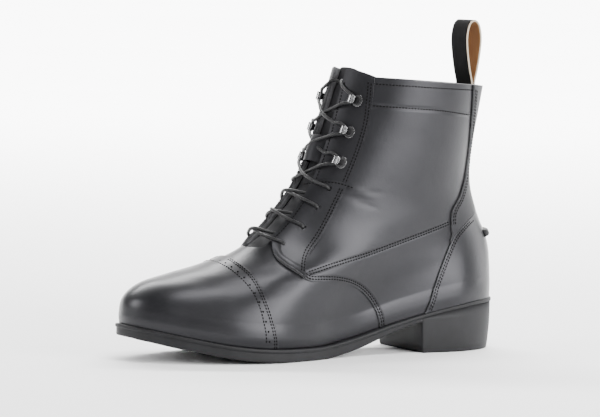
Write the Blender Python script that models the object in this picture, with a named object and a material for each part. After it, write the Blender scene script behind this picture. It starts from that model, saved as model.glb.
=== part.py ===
"""Left lace-up paddock boot in black leather on a moulded rubber sole with a block heel.

Metres, +Z up, toe towards +X, the foot's outer side towards +Y.
The origin is on the floor under the middle of the outsole's box.
"""

import math

import bmesh
import bpy
from mathutils import Vector

MM = 0.001

# The sole.
LENGTH = 288 * MM
BALL_WIDTH = 98 * MM
HEEL_END_RADIUS = 33 * MM
TOE_END_RADIUS = 28 * MM
HEEL_HEIGHT = 36 * MM
SOLE_THICKNESS = 9 * MM
WAIST_THICKNESS = 5.5 * MM
TOE_SPRING = 16 * MM
HEEL_LENGTH = 72 * MM
HEEL_TAPER = 2.0 * MM
BREAST_HOLLOW = 2.5 * MM
EDGE_ROUND = 1.2 * MM
LIP_HEIGHT = 2.4 * MM
LIP_OVERHANG = 0.8 * MM
RIM_WIDTH = 10 * MM
GROOVE_WIDTH = 1.8 * MM
GROOVE_DEPTH = 1.6 * MM
LUG_PITCH = 11.5 * MM
LUG_PERIOD = 15 * MM
LUG_SWING = 5 * MM

# The upper, and what is sewn on it.
COLLAR_BACK_HEIGHT = 186 * MM
COLLAR_FRONT_HEIGHT = 193 * MM
COLLAR_WIDTH = 76 * MM
WALL = 1.8 * MM
LAYER = 1.2 * MM
WELT_LEDGE = 4.2 * MM
GAP = 0.3 * MM
INSOLE_THICKNESS = 3 * MM
INSOLE_CLEAR = 1.2 * MM
TONGUE_THICKNESS = 2.4 * MM
TONGUE_RISE = 7 * MM
THROAT_HALF_BOTTOM = 14 * MM
THROAT_HALF_TOP = 6.5 * MM

# Fastenings and trim.
EYELET_RADIUS = 1.9 * MM
LACE_RADIUS = 1.2 * MM
LACE_LIFT = 1.0 * MM
HOOK_BEND = 1.7 * MM
HOOK_METAL = 0.9 * MM
HOOK_WIDTH = 4.5 * MM
HOOK_FOOT = 5.5 * MM
LOOP_WIDTH = 20 * MM
LOOP_HEIGHT = 45 * MM
LOOP_DEPTH = 11.5 * MM
LOOP_SEAT = 20 * MM
STRAP_THICKNESS = 1.4 * MM
SPUR_REST_WIDTH = 28 * MM
SPUR_REST_DEPTH = 2.8 * MM

# Stations along the outsole: share of the length from the heel, then half the
# width and the middle line's shift to the outer side, as shares of BALL_WIDTH.
OUTLINE = (
    (0.12, 0.340, 0.000),
    (0.21, 0.330, 0.006),
    (0.31, 0.298, 0.018),
    (0.40, 0.288, 0.027),
    (0.49, 0.332, 0.031),
    (0.57, 0.410, 0.026),
    (0.66, 0.483, 0.006),
    (0.71, 0.500, -0.010),
    (0.78, 0.484, -0.028),
    (0.85, 0.424, -0.044),
    (0.91, 0.350, -0.058),
    (0.955, 0.262, -0.070),
)

# The line that the upper stands on: share of the length, share of the heel's
# lift over the forefoot, share of the toe spring, and the plate's thickness
# from WAIST_THICKNESS at 0 to SOLE_THICKNESS at 1.
BED = (
    (0.00, 1.000, 0.00, 0.00),
    (0.10, 0.965, 0.00, 0.00),
    (0.21, 0.760, 0.00, 0.00),
    (0.31, 0.500, 0.00, 0.15),
    (0.42, 0.185, 0.00, 0.90),
    (0.52, 0.015, 0.00, 1.10),
    (0.60, 0.000, 0.00, 1.15),
    (0.70, 0.000, 0.06, 1.05),
    (0.79, 0.000, 0.23, 1.00),
    (0.87, 0.000, 0.50, 0.95),
    (0.94, 0.000, 0.78, 0.85),
    (1.00, 0.000, 1.00, 0.75),
)

# Rings of the upper from the sole's edge to the collar. Back and front give
# where each ring crosses the middle plane: share of LENGTH from the heel, and
# share of the way from the bed to the collar. Half is the ring's half width as
# a share of COLLAR_WIDTH where it is a plain oval, follow is how much of the
# outsole's outline it keeps, and full rounds its corners out below 1.
RINGS = (
    # back_at, back_up, front_at, front_up, half, follow, full
    (0.000, 0.000, 1.000, 0.000, 0.42, 1.00, 1.00),
    (0.000, 0.052, 1.001, 0.045, 0.44, 1.03, 1.00),
    (0.000, 0.111, 0.992, 0.110, 0.44, 0.98, 1.00),
    (0.000, 0.170, 0.953, 0.172, 0.43, 0.78, 0.98),
    (0.001, 0.229, 0.885, 0.224, 0.43, 0.50, 0.96),
    (0.009, 0.294, 0.801, 0.277, 0.42, 0.27, 0.95),
    (0.025, 0.359, 0.716, 0.338, 0.42, 0.10, 0.94),
    (0.040, 0.431, 0.650, 0.408, 0.43, 0.00, 0.92),
    (0.054, 0.510, 0.594, 0.490, 0.44, 0.00, 0.91),
    (0.061, 0.595, 0.550, 0.572, 0.45, 0.00, 0.90),
    (0.059, 0.686, 0.518, 0.660, 0.46, 0.00, 0.90),
    (0.052, 0.784, 0.490, 0.762, 0.47, 0.00, 0.90),
    (0.043, 0.882, 0.465, 0.872, 0.485, 0.00, 0.90),
    (0.033, 1.000, 0.438, 1.000, 0.50, 0.00, 0.90),
)
RING_LEVELS = [k / (len(RINGS) - 1) for k in range(len(RINGS))]

# Edges of the pieces as seen from the side: share of LENGTH from the heel, and
# height over the floor as a share of COLLAR_FRONT_HEIGHT.
QUARTER_EDGE = (
    (0.350, -0.060),
    (0.356, 0.080),
    (0.374, 0.168),
    (0.411, 0.227),
    (0.455, 0.261),
    (0.505, 0.277),
    (0.550, 0.280),
    (0.584, 0.284),
    (0.606, 0.308),
    (0.631, 0.335),
    (0.643, 0.358),
    (0.643, 0.385),
    (0.636, 0.416),
    (0.645, 0.640),
)
CAP_EDGE = (
    (0.668, -0.060),
    (0.676, 0.060),
    (0.687, 0.145),
    (0.700, 0.223),
    (0.713, 0.302),
    (0.730, 0.352),
    (0.752, 0.480),
)
FACING_EDGE = (
    (0.596, 0.290),
    (0.578, 0.350),
    (0.525, 0.440),
    (0.473, 0.562),
    (0.432, 0.686),
    (0.402, 0.811),
    (0.388, 0.918),
    (0.372, 1.080),
)
COUNTER_EDGE = (
    (0.248, -0.060),
    (0.243, 0.120),
    (0.232, 0.170),
    (0.198, 0.300),
    (0.156, 0.413),
    (0.117, 0.460),
    (0.074, 0.495),
    (0.062, 0.524),
    (-0.080, 0.524),
)
STRIP_EDGE = (
    (0.160, 0.425),
    (0.160, 0.508),
    (0.127, 0.567),
    (0.090, 0.660),
    (0.092, 0.766),
    (0.113, 0.880),
    (0.124, 1.080),
)
SPUR_REST_BAND = (0.404, 0.430)

# Holes and hooks of one side: the level and the turn on the upper's face.
EYELETS = ((0.480, 0.790), (0.550, 0.785), (0.620, 0.790), (0.690, 0.800))
HOOKS = ((0.780, 0.825), (0.865, 0.840), (0.945, 0.850))
THROAT_LEVEL = 0.485

def smooth(stations, values, at):
    """The value at a station on a smooth curve through the values."""
    last = len(stations) - 1
    at = min(max(at, stations[0]), stations[last])
    k = max(i for i in range(last) if stations[i] <= at)

    def slope(i):
        low, high = max(i - 1, 0), min(i + 1, last)
        return (values[high] - values[low]) / (stations[high] - stations[low])

    step = stations[k + 1] - stations[k]
    t = (at - stations[k]) / step
    rise = (2 * t**3 - 3 * t**2 + 1) * values[k] + (3 * t**2 - 2 * t**3) * values[k + 1]
    return rise + step * ((t**3 - 2 * t**2 + t) * slope(k) + (t**3 - t**2) * slope(k + 1))


def turn_of(share):
    """A station's angle round an oval of the boot's length, 0 at the heel and 1 at the toe."""
    return math.acos(1 - 2 * share) / math.pi


def share_of(turn):
    return (1 - math.cos(math.pi * turn)) / 2


TURNS = [0.0] + [turn_of(row[0]) for row in OUTLINE] + [1.0]
SWELLS = (
    [math.sqrt(HEEL_END_RADIUS * LENGTH / 2)]
    + [row[1] * BALL_WIDTH / math.sin(math.pi * turn_of(row[0])) for row in OUTLINE]
    + [math.sqrt(TOE_END_RADIUS * LENGTH / 2)]
)
SHIFTS = [0.0] + [row[2] * BALL_WIDTH for row in OUTLINE] + [-0.08 * BALL_WIDTH]


def swell(turn):
    """Half the width of the oval that touches the outsole's outline at this turn."""
    return smooth(TURNS, SWELLS, turn)


def lean_of(share):
    return smooth(TURNS, SHIFTS, turn_of(share))


# The shift that puts the outsole's box on the middle plane.
BOX_SHARES = [k / 400 for k in range(401)]
BOX_HALVES = [swell(turn_of(share)) * math.sin(math.pi * turn_of(share)) for share in BOX_SHARES]
BOX_OUTER = max(lean_of(share) + half for share, half in zip(BOX_SHARES, BOX_HALVES))
BOX_INNER = min(lean_of(share) - half for share, half in zip(BOX_SHARES, BOX_HALVES))


def middle(share):
    """The outsole's middle line, as a distance to the outer side."""
    return lean_of(share) - (BOX_OUTER + BOX_INNER) / 2


def bed(share):
    """Height of the outsole's top."""
    stations = [row[0] for row in BED]
    lift = smooth(stations, [row[1] for row in BED], share)
    spring = smooth(stations, [row[2] for row in BED], share)
    return SOLE_THICKNESS + lift * (HEEL_HEIGHT - SOLE_THICKNESS) + spring * TOE_SPRING


def x_at(share):
    return (share - 0.5) * LENGTH


def share_at(x):
    return min(max(x / LENGTH + 0.5, 0.0), 1.0)


def under(share):
    """Height of the outsole plate's underside, flat on the floor at the ball."""
    thick = smooth([row[0] for row in BED], [row[3] for row in BED], share)
    plate = WAIST_THICKNESS + thick * (SOLE_THICKNESS - WAIST_THICKNESS)
    return max(0.0, bed(share) - plate)


def ring(level):
    """The table's columns at a level from 0, the sole, to 1, the collar."""
    return [smooth(RING_LEVELS, [row[c] for row in RINGS], level) for c in range(7)]


def skin(level, turn, side):
    """A point of the vamp's outer face. Turn runs from 0 at the back seam to 1 at
    the front, and side is 1 for the outer side and -1 for the inner."""
    back_at, back_up, front_at, front_up, half, follow, full = ring(level)
    way = share_of(turn)
    back_x = x_at(back_at) + WELT_LEDGE
    front_x = x_at(front_at) - WELT_LEDGE
    x = back_x + way * (front_x - back_x)
    back_bed, front_bed = bed(share_at(back_x)), bed(share_at(front_x))
    back_rise = back_up * (COLLAR_BACK_HEIGHT - back_bed)
    front_rise = front_up * (COLLAR_FRONT_HEIGHT - front_bed)
    over_bed = bed(share_at(x)) + back_rise + way * (front_rise - back_rise)
    back_z, front_z = back_bed + back_rise, front_bed + front_rise
    straight = back_z + way * (front_z - back_z)
    z = straight + min(follow, 1.0) * (over_bed - straight)
    round_off = math.sin(math.pi * turn)
    foot = (swell(turn) - WELT_LEDGE) * round_off
    oval = half * COLLAR_WIDTH * round_off**full
    width = follow * foot + max(0.0, 1.0 - follow) * oval
    low = min(max((level - 0.3) / 0.35, 0.0), 1.0)
    shift = middle(share_at(x)) * (1 - low * low * (3 - 2 * low))
    return Vector((x, shift + side * width, z + GAP))


def off_skin(level, turn, side, out):
    """A point this far out from the vamp's face. Past level 1 it runs straight on."""
    at = min(level, 1.0)
    step = 0.01
    low, high = max(at - step, 0.0), min(at + step, 1.0)
    up = (skin(high, turn, side) - skin(low, turn, side)) / (high - low)
    ahead = wrapped(at, turn + step, side) - wrapped(at, turn - step, side)
    normal = side * up.cross(ahead)
    normal.z *= min(at / 0.12, 1.0)
    normal.normalize()
    point = skin(at, turn, side) + normal * out + up * (level - at)
    if level == 0.0:
        point.z = bed(share_at(point.x)) + GAP
    return point


def wrapped(level, turn, side):
    """A point of the face where the turn may pass the front or the back seam."""
    if turn > 1.0:
        return skin(level, 2.0 - turn, -side)
    if turn < 0.0:
        return skin(level, -turn, -side)
    return skin(level, turn, side)


def add(name, bm, colour, roughness, metallic=0.0):
    """Make a named object with its own material from a bmesh."""
    bmesh.ops.recalc_face_normals(bm, faces=bm.faces)
    mesh = bpy.data.meshes.new(name)
    bm.to_mesh(mesh)
    bm.free()
    made = bpy.data.objects.new(name, mesh)
    bpy.context.scene.collection.objects.link(made)
    material = bpy.data.materials.new(name)
    material.use_nodes = True
    shader = material.node_tree.nodes["Principled BSDF"]
    shader.inputs["Base Color"].default_value = (*colour, 1.0)
    shader.inputs["Roughness"].default_value = roughness
    shader.inputs["Metallic"].default_value = metallic
    mesh.materials.append(material)
    return made


def cutter(name, bm):
    """Make a hidden object that only shapes others."""
    made = add(name, bm, LEATHER, 1.0)
    made.hide_render = True
    made.display_type = "WIRE"
    return made


def combine(target, other, operation):
    step = target.modifiers.new(other.name, "BOOLEAN")
    step.operation = operation
    step.object = other
    step.solver = "EXACT"


def stack(rows, closed):
    """A closed solid from rows of points, each row joined to the next. Closed rows
    are rings whose first and last rows are capped by strips across them."""
    bm = bmesh.new()
    grid = [[bm.verts.new(point) for point in row] for row in rows]
    count = len(rows[0])
    for low, high in zip(grid, grid[1:]):
        for k in range(count if closed else count - 1):
            n = (k + 1) % count
            bm.faces.new((low[k], low[n], high[n], high[k]))
    return bm, grid


def cap(bm, row, flat_from):
    """Close a ring of points by strips across it, from its pointed start. The points
    after flat_from on each side close as one face."""
    count = len(row)
    bm.faces.new((row[0], row[1], row[count - 1]))
    for k in range(1, flat_from):
        bm.faces.new((row[k], row[k + 1], row[count - k - 1], row[count - k]))
    rest = row[flat_from : count - flat_from + 1]
    bm.faces.new(rest)


def shell(inner, outer, columns, levels=None, drop=0.0):
    """The solid between two offsets of the upper's face. Columns count round the
    ring from the back seam by the outer side; a whole ring is open top and bottom.
    A drop carries it on straight down below its first level."""
    levels = levels or LEVELS
    rows_at = [(level, 0.0) for level in levels]
    if drop:
        rows_at.insert(0, (levels[0], drop))
    whole = len(columns) == 2 * AROUND
    bm = bmesh.new()

    def face_points(out):
        rows = []
        for level, lower in rows_at:
            row = []
            for column in columns:
                c = column % (2 * AROUND)
                turn, side = (c / AROUND, 1) if c <= AROUND else (2 - c / AROUND, -1)
                point = off_skin(level, turn, side, out)
                row.append(bm.verts.new((point.x, point.y, point.z - lower)))
            rows.append(row)
        return rows

    near, far = face_points(inner), face_points(outer)
    count, last = len(columns), len(rows_at) - 1
    spans = [(k, (k + 1) % count) for k in range(count if whole else count - 1)]
    for i in range(last):
        for k, n in spans:
            bm.faces.new((far[i][k], far[i][n], far[i + 1][n], far[i + 1][k]))
            bm.faces.new((near[i][k], near[i + 1][k], near[i + 1][n], near[i][n]))
        if not whole:
            for k in (0, count - 1):
                bm.faces.new((near[i][k], far[i][k], far[i + 1][k], near[i + 1][k]))
    for k, n in spans:
        for i in (0, last):
            bm.faces.new((near[i][k], near[i][n], far[i][n], far[i][k]))
    return bm


def prism(edge, first_y, last_y):
    """A solid with a side-view outline, running across the boot."""
    bm = bmesh.new()
    ends = []
    for y in (first_y, last_y):
        ends.append([bm.verts.new((x_at(share), y, up * COLLAR_FRONT_HEIGHT)) for share, up in edge])
    count = len(edge)
    bm.faces.new(ends[0])
    bm.faces.new(ends[1])
    for k in range(count):
        n = (k + 1) % count
        bm.faces.new((ends[0][k], ends[0][n], ends[1][n], ends[1][k]))
    return bm


def foot_ring(inset, last_turn=1.0):
    """Points round the outsole's outline from the heel by the outer side and back,
    each with its share of the length. They end at last_turn on both sides."""
    turns = [last_turn * k / AROUND for k in range(AROUND + 1)]
    half = []
    for turn in turns:
        share = share_of(turn)
        x = x_at(0) + inset + share * (LENGTH - 2 * inset)
        half.append((x, share, (swell(turn) - inset) * math.sin(math.pi * turn)))
    outer = [(x, middle(share) + width, share) for x, share, width in half]
    inner = [(x, middle(share) - width, share) for x, share, width in half]
    if last_turn == 1.0:
        return outer + inner[-2:0:-1]
    return outer + inner[:0:-1]


def sweep(path, radius, sides):
    """A round cord along a path of points, with flat ends."""
    bm = bmesh.new()
    rings = []
    across = (path[1] - path[0]).orthogonal().normalized()
    for k, point in enumerate(path):
        way = (path[min(k + 1, len(path) - 1)] - path[max(k - 1, 0)]).normalized()
        across = (across - way * across.dot(way)).normalized()
        other = way.cross(across)
        ring_points = []
        for s in range(sides):
            angle = 2 * math.pi * s / sides
            offset = across * math.cos(angle) + other * math.sin(angle)
            ring_points.append(bm.verts.new(point + offset * radius))
        rings.append(ring_points)
    for low, high in zip(rings, rings[1:]):
        for k in range(sides):
            n = (k + 1) % sides
            bm.faces.new((low[k], low[n], high[n], high[k]))
    bm.faces.new(rings[0])
    bm.faces.new(rings[-1])
    return bm


for startup in list(bpy.data.objects):
    bpy.data.objects.remove(startup)

LEATHER = (0.035, 0.036, 0.040)
RUBBER = (0.045, 0.047, 0.050)
METAL = (0.60, 0.60, 0.62)

AROUND = 22
LEVEL_COUNT = 22
LEVELS = [k / LEVEL_COUNT for k in range(LEVEL_COUNT + 1)]
WHOLE_RING = list(range(2 * AROUND))
FAR_OUT = 120 * MM


# Outsole: a moulded rubber plate with a lip round its top, and the heel block in one with it.
def plate_row(inset, height_over):
    return [(x, y, height_over(share)) for x, y, share in foot_ring(inset)]


def make_plate():
    side = LIP_OVERHANG
    rows = [
        plate_row(side + EDGE_ROUND, under),
        plate_row(side, lambda share: under(share) + EDGE_ROUND),
        plate_row(side, lambda share: bed(share) - LIP_HEIGHT),
        plate_row(0.0, lambda share: bed(share) - LIP_HEIGHT + LIP_OVERHANG / 2),
        plate_row(0.0, lambda share: bed(share) - LIP_OVERHANG / 2),
        plate_row(LIP_OVERHANG / 2, bed),
    ]
    bm, grid = stack(rows, True)
    cap(bm, grid[0], AROUND - 1)
    cap(bm, grid[-1], AROUND - 1)
    return bm


def make_heel():
    breast = HEEL_LENGTH / LENGTH
    in_plate = (LIP_HEIGHT + WAIST_THICKNESS) / 2

    def row(inset, height_over):
        points = foot_ring(inset, turn_of(breast))
        x, y, share = points[AROUND]
        x_in, y_in, share_in = points[AROUND + 1]
        arc = []
        for k in range(1, 5):
            way = k / 5
            arc.append((x - inset - 4 * way * (1 - way) * BREAST_HOLLOW, y + way * (y_in - y), share))
        points[AROUND] = (x - inset, y, share)
        points[AROUND + 1] = (x_in - inset, y_in, share_in)
        points[AROUND + 1 : AROUND + 1] = arc
        return [(px, py, height_over(s)) for px, py, s in points]

    rows = [
        row(LIP_OVERHANG + HEEL_TAPER + EDGE_ROUND, lambda share: 0.0),
        row(LIP_OVERHANG + HEEL_TAPER, lambda share: EDGE_ROUND),
        row(LIP_OVERHANG + GAP, lambda share: bed(share) - in_plate),
    ]
    bm, grid = stack(rows, True)
    cap(bm, grid[0], AROUND)
    cap(bm, grid[-1], AROUND)
    return bm


def groove(bm, points, closed):
    """Add a ribbon-shaped groove cutter along points of the outsole's underside."""
    rows = []
    count = len(points)
    for k, (x, y) in enumerate(points):
        before = points[(k - 1) % count] if closed or k > 0 else points[k]
        after = points[(k + 1) % count] if closed or k < count - 1 else points[k]
        way = Vector((after[0] - before[0], after[1] - before[1])).normalized()
        over = way.orthogonal() * GROOVE_WIDTH / 2
        floor = under(share_at(x))
        corners = (
            (x + over.x, y + over.y, floor - GROOVE_DEPTH),
            (x - over.x, y - over.y, floor - GROOVE_DEPTH),
            (x - over.x, y - over.y, floor + GROOVE_DEPTH),
            (x + over.x, y + over.y, floor + GROOVE_DEPTH),
        )
        rows.append([bm.verts.new(corner) for corner in corners])
    pairs = list(zip(rows, rows[1:]))
    if closed:
        pairs.append((rows[-1], rows[0]))
    for low, high in pairs:
        for k in range(4):
            n = (k + 1) % 4
            bm.faces.new((low[k], low[n], high[n], high[k]))
    if not closed:
        bm.faces.new(rows[0])
        bm.faces.new(rows[-1])


FIELD_SHARES = (0.44, 0.955)
CROSS_RIB_SHARES = (0.628, 0.872)


def make_tread():
    """Cutters for the forefoot's border groove and its zigzag grooves."""
    bm = bmesh.new()
    first, last = FIELD_SHARES
    shares = [first + (last - first) * k / 12 for k in range(13)]
    sides = []
    for side in (1, -1):
        edge = []
        for share in shares:
            turn = turn_of(share)
            half = (swell(turn) - RIM_WIDTH) * math.sin(math.pi * turn)
            edge.append((x_at(share), middle(share) + side * half))
        sides.append(edge)
    groove(bm, sides[0] + sides[1][::-1], True)
    x = x_at(first) + LUG_PITCH
    while x < x_at(last) - LUG_PITCH / 2:
        share = share_at(x)
        if min(abs(share - rib) for rib in CROSS_RIB_SHARES) * LENGTH > LUG_PITCH / 2:
            turn = turn_of(share)
            reach = (swell(turn) - RIM_WIDTH) * math.sin(math.pi * turn) - 2 * GROOVE_WIDTH
            teeth = max(2, round(2 * 2 * reach / LUG_PERIOD))
            points = []
            for k in range(teeth + 1):
                swing = LUG_SWING / 2 * (1 if k % 2 else -1)
                points.append((x + swing, middle(share) - reach + 2 * reach * k / teeth))
            groove(bm, points, False)
        x += LUG_PITCH
    return bm


outsole = add("outsole", make_plate(), RUBBER, 0.6)
combine(outsole, cutter("heel_block_form", make_heel()), "UNION")
combine(outsole, cutter("tread_form", make_tread()), "DIFFERENCE")


# Insole: a flat board on the outsole's top, inside the upper's wall.
def make_insole():
    inset = WELT_LEDGE + WALL + INSOLE_CLEAR
    low = plate_row(inset, lambda share: bed(share) + GAP)
    high = plate_row(inset, lambda share: bed(share) + GAP + INSOLE_THICKNESS)
    bm, grid = stack([low, high], True)
    cap(bm, grid[0], AROUND - 1)
    cap(bm, grid[-1], AROUND - 1)
    return bm


add("insole", make_insole(), (0.10, 0.095, 0.09), 0.9)


# Throat: a slot down the front between the two facings, wider at its foot.
def make_throat():
    bm = bmesh.new()
    rows = []
    steps = 12
    for k in range(steps + 1):
        level = THROAT_LEVEL + (1.06 - THROAT_LEVEL) * k / steps
        half = THROAT_HALF_BOTTOM + (THROAT_HALF_TOP - THROAT_HALF_BOTTOM) * k / steps
        out = off_skin(level, 1.0, 1, 20 * MM)
        back = off_skin(level, 1.0, 1, -16 * MM)
        corners = [(p.x, y, p.z) for p, y in ((out, half), (out, -half), (back, -half), (back, half))]
        rows.append([bm.verts.new(corner) for corner in corners])
    for low, high in zip(rows, rows[1:]):
        for k in range(4):
            n = (k + 1) % 4
            bm.faces.new((low[k], low[n], high[n], high[k]))
    bm.faces.new(rows[0])
    bm.faces.new(rows[-1])
    return bm


def make_lace_holes():
    bm = bmesh.new()
    for level, turn in EYELETS:
        for side in (1, -1):
            inside = off_skin(level, turn, side, -WALL - LAYER)
            outside = off_skin(level, turn, side, 4 * LAYER)
            tube = sweep([inside, outside], EYELET_RADIUS, 10)
            mesh = bpy.data.meshes.new("hole")
            tube.to_mesh(mesh)
            tube.free()
            bm.from_mesh(mesh)
            bpy.data.meshes.remove(mesh)
    return bm


throat = cutter("throat_form", make_throat())
lace_holes = cutter("lace_hole_form", make_lace_holes())

# Upper: one hollow leather solid, with the quarters a step over the vamp.
vamp_field = list(QUARTER_EDGE) + [(1.2, 0.64), (1.2, -0.06)]
vamp_form = cutter("vamp_form", shell(0.0, 3 * LAYER, WHOLE_RING, drop=2 * LAYER))
combine(vamp_form, cutter("vamp_field", prism(vamp_field, -FAR_OUT, FAR_OUT)), "INTERSECT")
upper = add("upper", shell(-WALL, LAYER, WHOLE_RING), LEATHER, 0.35)
combine(upper, vamp_form, "DIFFERENCE")
combine(upper, throat, "DIFFERENCE")
combine(upper, lace_holes, "DIFFERENCE")

# Toe cap: a second layer of leather over the front of the vamp.
cap_columns = list(range(9, 2 * AROUND - 8))
cap_levels = [level for level in LEVELS if level < 0.6]
toe_cap = add("toe_cap", shell(GAP, GAP + LAYER, cap_columns, cap_levels), LEATHER, 0.3)
cap_field = list(CAP_EDGE) + [(1.2, 0.48), (1.2, -0.06)]
combine(toe_cap, cutter("cap_field", prism(cap_field, -FAR_OUT, FAR_OUT)), "INTERSECT")

# Counter: the stiff heel piece over both quarters.
ON_QUARTER = LAYER + GAP
back_columns = list(range(-10, 11))
counter = add("counter", shell(ON_QUARTER, ON_QUARTER + LAYER, back_columns), LEATHER, 0.35)
counter_field = list(COUNTER_EDGE) + [(-0.08, -0.06)]
combine(counter, cutter("counter_field", prism(counter_field, -FAR_OUT, FAR_OUT)), "INTERSECT")

# Back strip: covers the back seam from the counter to the collar.
SEAM_SHARE = 0.003
strip_floor = [(share, up + SEAM_SHARE) for share, up in COUNTER_EDGE[5:]]
strip_field = list(STRIP_EDGE) + [(-0.08, 1.08)] + strip_floor[::-1]
back_strip = add("back_strip", shell(ON_QUARTER, ON_QUARTER + LAYER, back_columns), LEATHER, 0.4)
combine(back_strip, cutter("strip_field", prism(strip_field, -FAR_OUT, FAR_OUT)), "INTERSECT")

# Facings: the two lace bands, from the collar down to the quarters' front corners.
facing_foot = [point for point in QUARTER_EDGE if point[0] > 0.6]
facing_field = list(FACING_EDGE) + [(0.68, 1.08)] + facing_foot[::-1]
front_columns = list(range(11, 2 * AROUND - 10))
for name, side in (("facing_outer", 1), ("facing_inner", -1)):
    facing = add(name, shell(ON_QUARTER, ON_QUARTER + LAYER, front_columns), LEATHER, 0.4)
    field = prism(facing_field, 0.0, side * FAR_OUT)
    combine(facing, cutter(name + "_field", field), "INTERSECT")
    combine(facing, throat, "DIFFERENCE")
    combine(facing, lace_holes, "DIFFERENCE")


# Tongue: a soft leather flap behind the throat, a little higher than the collar.
def make_tongue():
    outer = -WALL - 2 * GAP
    levels = [0.44 + 0.56 * k / 12 for k in range(13)]
    levels.append(1.0 + TONGUE_RISE / COLLAR_FRONT_HEIGHT)
    columns = list(range(17, 2 * AROUND - 16))
    return shell(outer - TONGUE_THICKNESS, outer, columns, levels)


add("tongue", make_tongue(), LEATHER, 0.45)

# Spur rest: a short bar across the back of the counter.
ON_COUNTER = ON_QUARTER + LAYER + GAP
rest_low, rest_high = SPUR_REST_BAND
rest_field = [(-0.2, rest_low), (0.2, rest_low), (0.2, rest_high), (-0.2, rest_high)]
rest_levels = [level for level in LEVELS if 0.25 < level < 0.6]
rest_shell = shell(ON_COUNTER, ON_COUNTER + SPUR_REST_DEPTH, back_columns, rest_levels)
spur_rest = add("spur_rest", rest_shell, RUBBER, 0.5)
rest_form = prism(rest_field, -SPUR_REST_WIDTH / 2, SPUR_REST_WIDTH / 2)
combine(spur_rest, cutter("rest_field", rest_form), "INTERSECT")


# Hooks: bent metal strips riveted on the facings, open towards the heel.
def hook_place(level, turn, side, back, along, high):
    """A point by a hook: back from the throat, along the facing's edge, and up from
    the facing's face."""
    face = ON_QUARTER + LAYER + GAP
    middle_point = off_skin(level, turn, side, face)
    out = (off_skin(level, turn, side, face + MM) - middle_point).normalized()
    up = (off_skin(level + 0.02, turn, side, face) - off_skin(level - 0.02, turn, side, face)).normalized()
    rear = side * up.cross(out)
    up = side * out.cross(rear)
    return middle_point + rear * back + up * along + out * high


def make_hook(level, turn, side):
    outer_bend = HOOK_BEND + HOOK_METAL
    outline = []
    for k in range(10):
        angle = math.radians(270 - 225 * k / 9)
        outline.append((outer_bend * math.cos(angle), outer_bend + outer_bend * math.sin(angle)))
    for k in range(10):
        angle = math.radians(45 + 225 * k / 9)
        outline.append((HOOK_BEND * math.cos(angle), outer_bend + HOOK_BEND * math.sin(angle)))
    outline.append((HOOK_FOOT, HOOK_METAL))
    outline.append((HOOK_FOOT, 0.0))
    bm = bmesh.new()
    ends = []
    for along in (-HOOK_WIDTH / 2, HOOK_WIDTH / 2):
        ends.append([bm.verts.new(hook_place(level, turn, side, b, along, h)) for b, h in outline])
    bm.faces.new(ends[0])
    bm.faces.new(ends[1])
    count = len(outline)
    for k in range(count):
        n = (k + 1) % count
        bm.faces.new((ends[0][k], ends[0][n], ends[1][n], ends[1][k]))
    return bm


for side, side_name in ((1, "outer"), (-1, "inner")):
    for number, (level, turn) in enumerate(HOOKS, 1):
        add(f"hook_{side_name}_{number}", make_hook(level, turn, side), METAL, 0.25, 1.0)


# Lace: one cord that crosses the throat between the holes and then between the hooks.
def lace_turn(place, side, is_hook):
    """Points of the lace's turn round a hook, or over a hole, from below to above."""
    level, turn = place
    wide = HOOK_WIDTH / 2 + GAP + LACE_RADIUS
    high = HOOK_BEND + HOOK_METAL if is_hook else LACE_RADIUS + GAP
    shape = ((-3.6 * MM, -1.0), (-0.7 * MM, -0.92), (0.1 * MM, -0.45))
    below = [hook_place(level, turn, side, back, share * wide, high) for back, share in shape]
    above = [hook_place(level, turn, side, back, -share * wide, high) for back, share in shape[::-1]]
    return below + above


def lace_cross(low_place, high_place, side):
    """Points of the lace's way across the throat, up to the other side's next place."""
    points = []
    for way in (0.2, 0.4, 0.6, 0.8):
        level = low_place[0] + way * (high_place[0] - low_place[0])
        column = low_place[1] + way * (2 - high_place[1] - low_place[1])
        turn, at_side = (column, side) if column <= 1 else (2 - column, -side)
        out = ON_QUARTER + LAYER + LACE_LIFT + LACE_RADIUS
        points.append(off_skin(level, turn, at_side, out))
    return points


def make_lace(first_side):
    places = list(EYELETS) + list(HOOKS)
    side = first_side
    path = lace_turn(places[0], side, False)
    for k in range(1, len(places)):
        path += lace_cross(places[k - 1], places[k], side)
        side = -side
        path += lace_turn(places[k], side, k >= len(EYELETS))
    return sweep(path, LACE_RADIUS, 6)


lace = add("lace", make_lace(1), (0.012, 0.012, 0.013), 0.7)
combine(lace, cutter("second_lace_form", make_lace(-1)), "UNION")


# Pull loop: a doubled ribbon sewn inside the back of the collar.
LOOP_SHAPE = (
    # depth, height: shares of LOOP_DEPTH / 2 and of LOOP_HEIGHT
    (0.55, 0.24),
    (0.90, 0.52),
    (1.00, 0.74),
    (0.72, 0.92),
    (0.26, 0.99),
)


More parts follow.
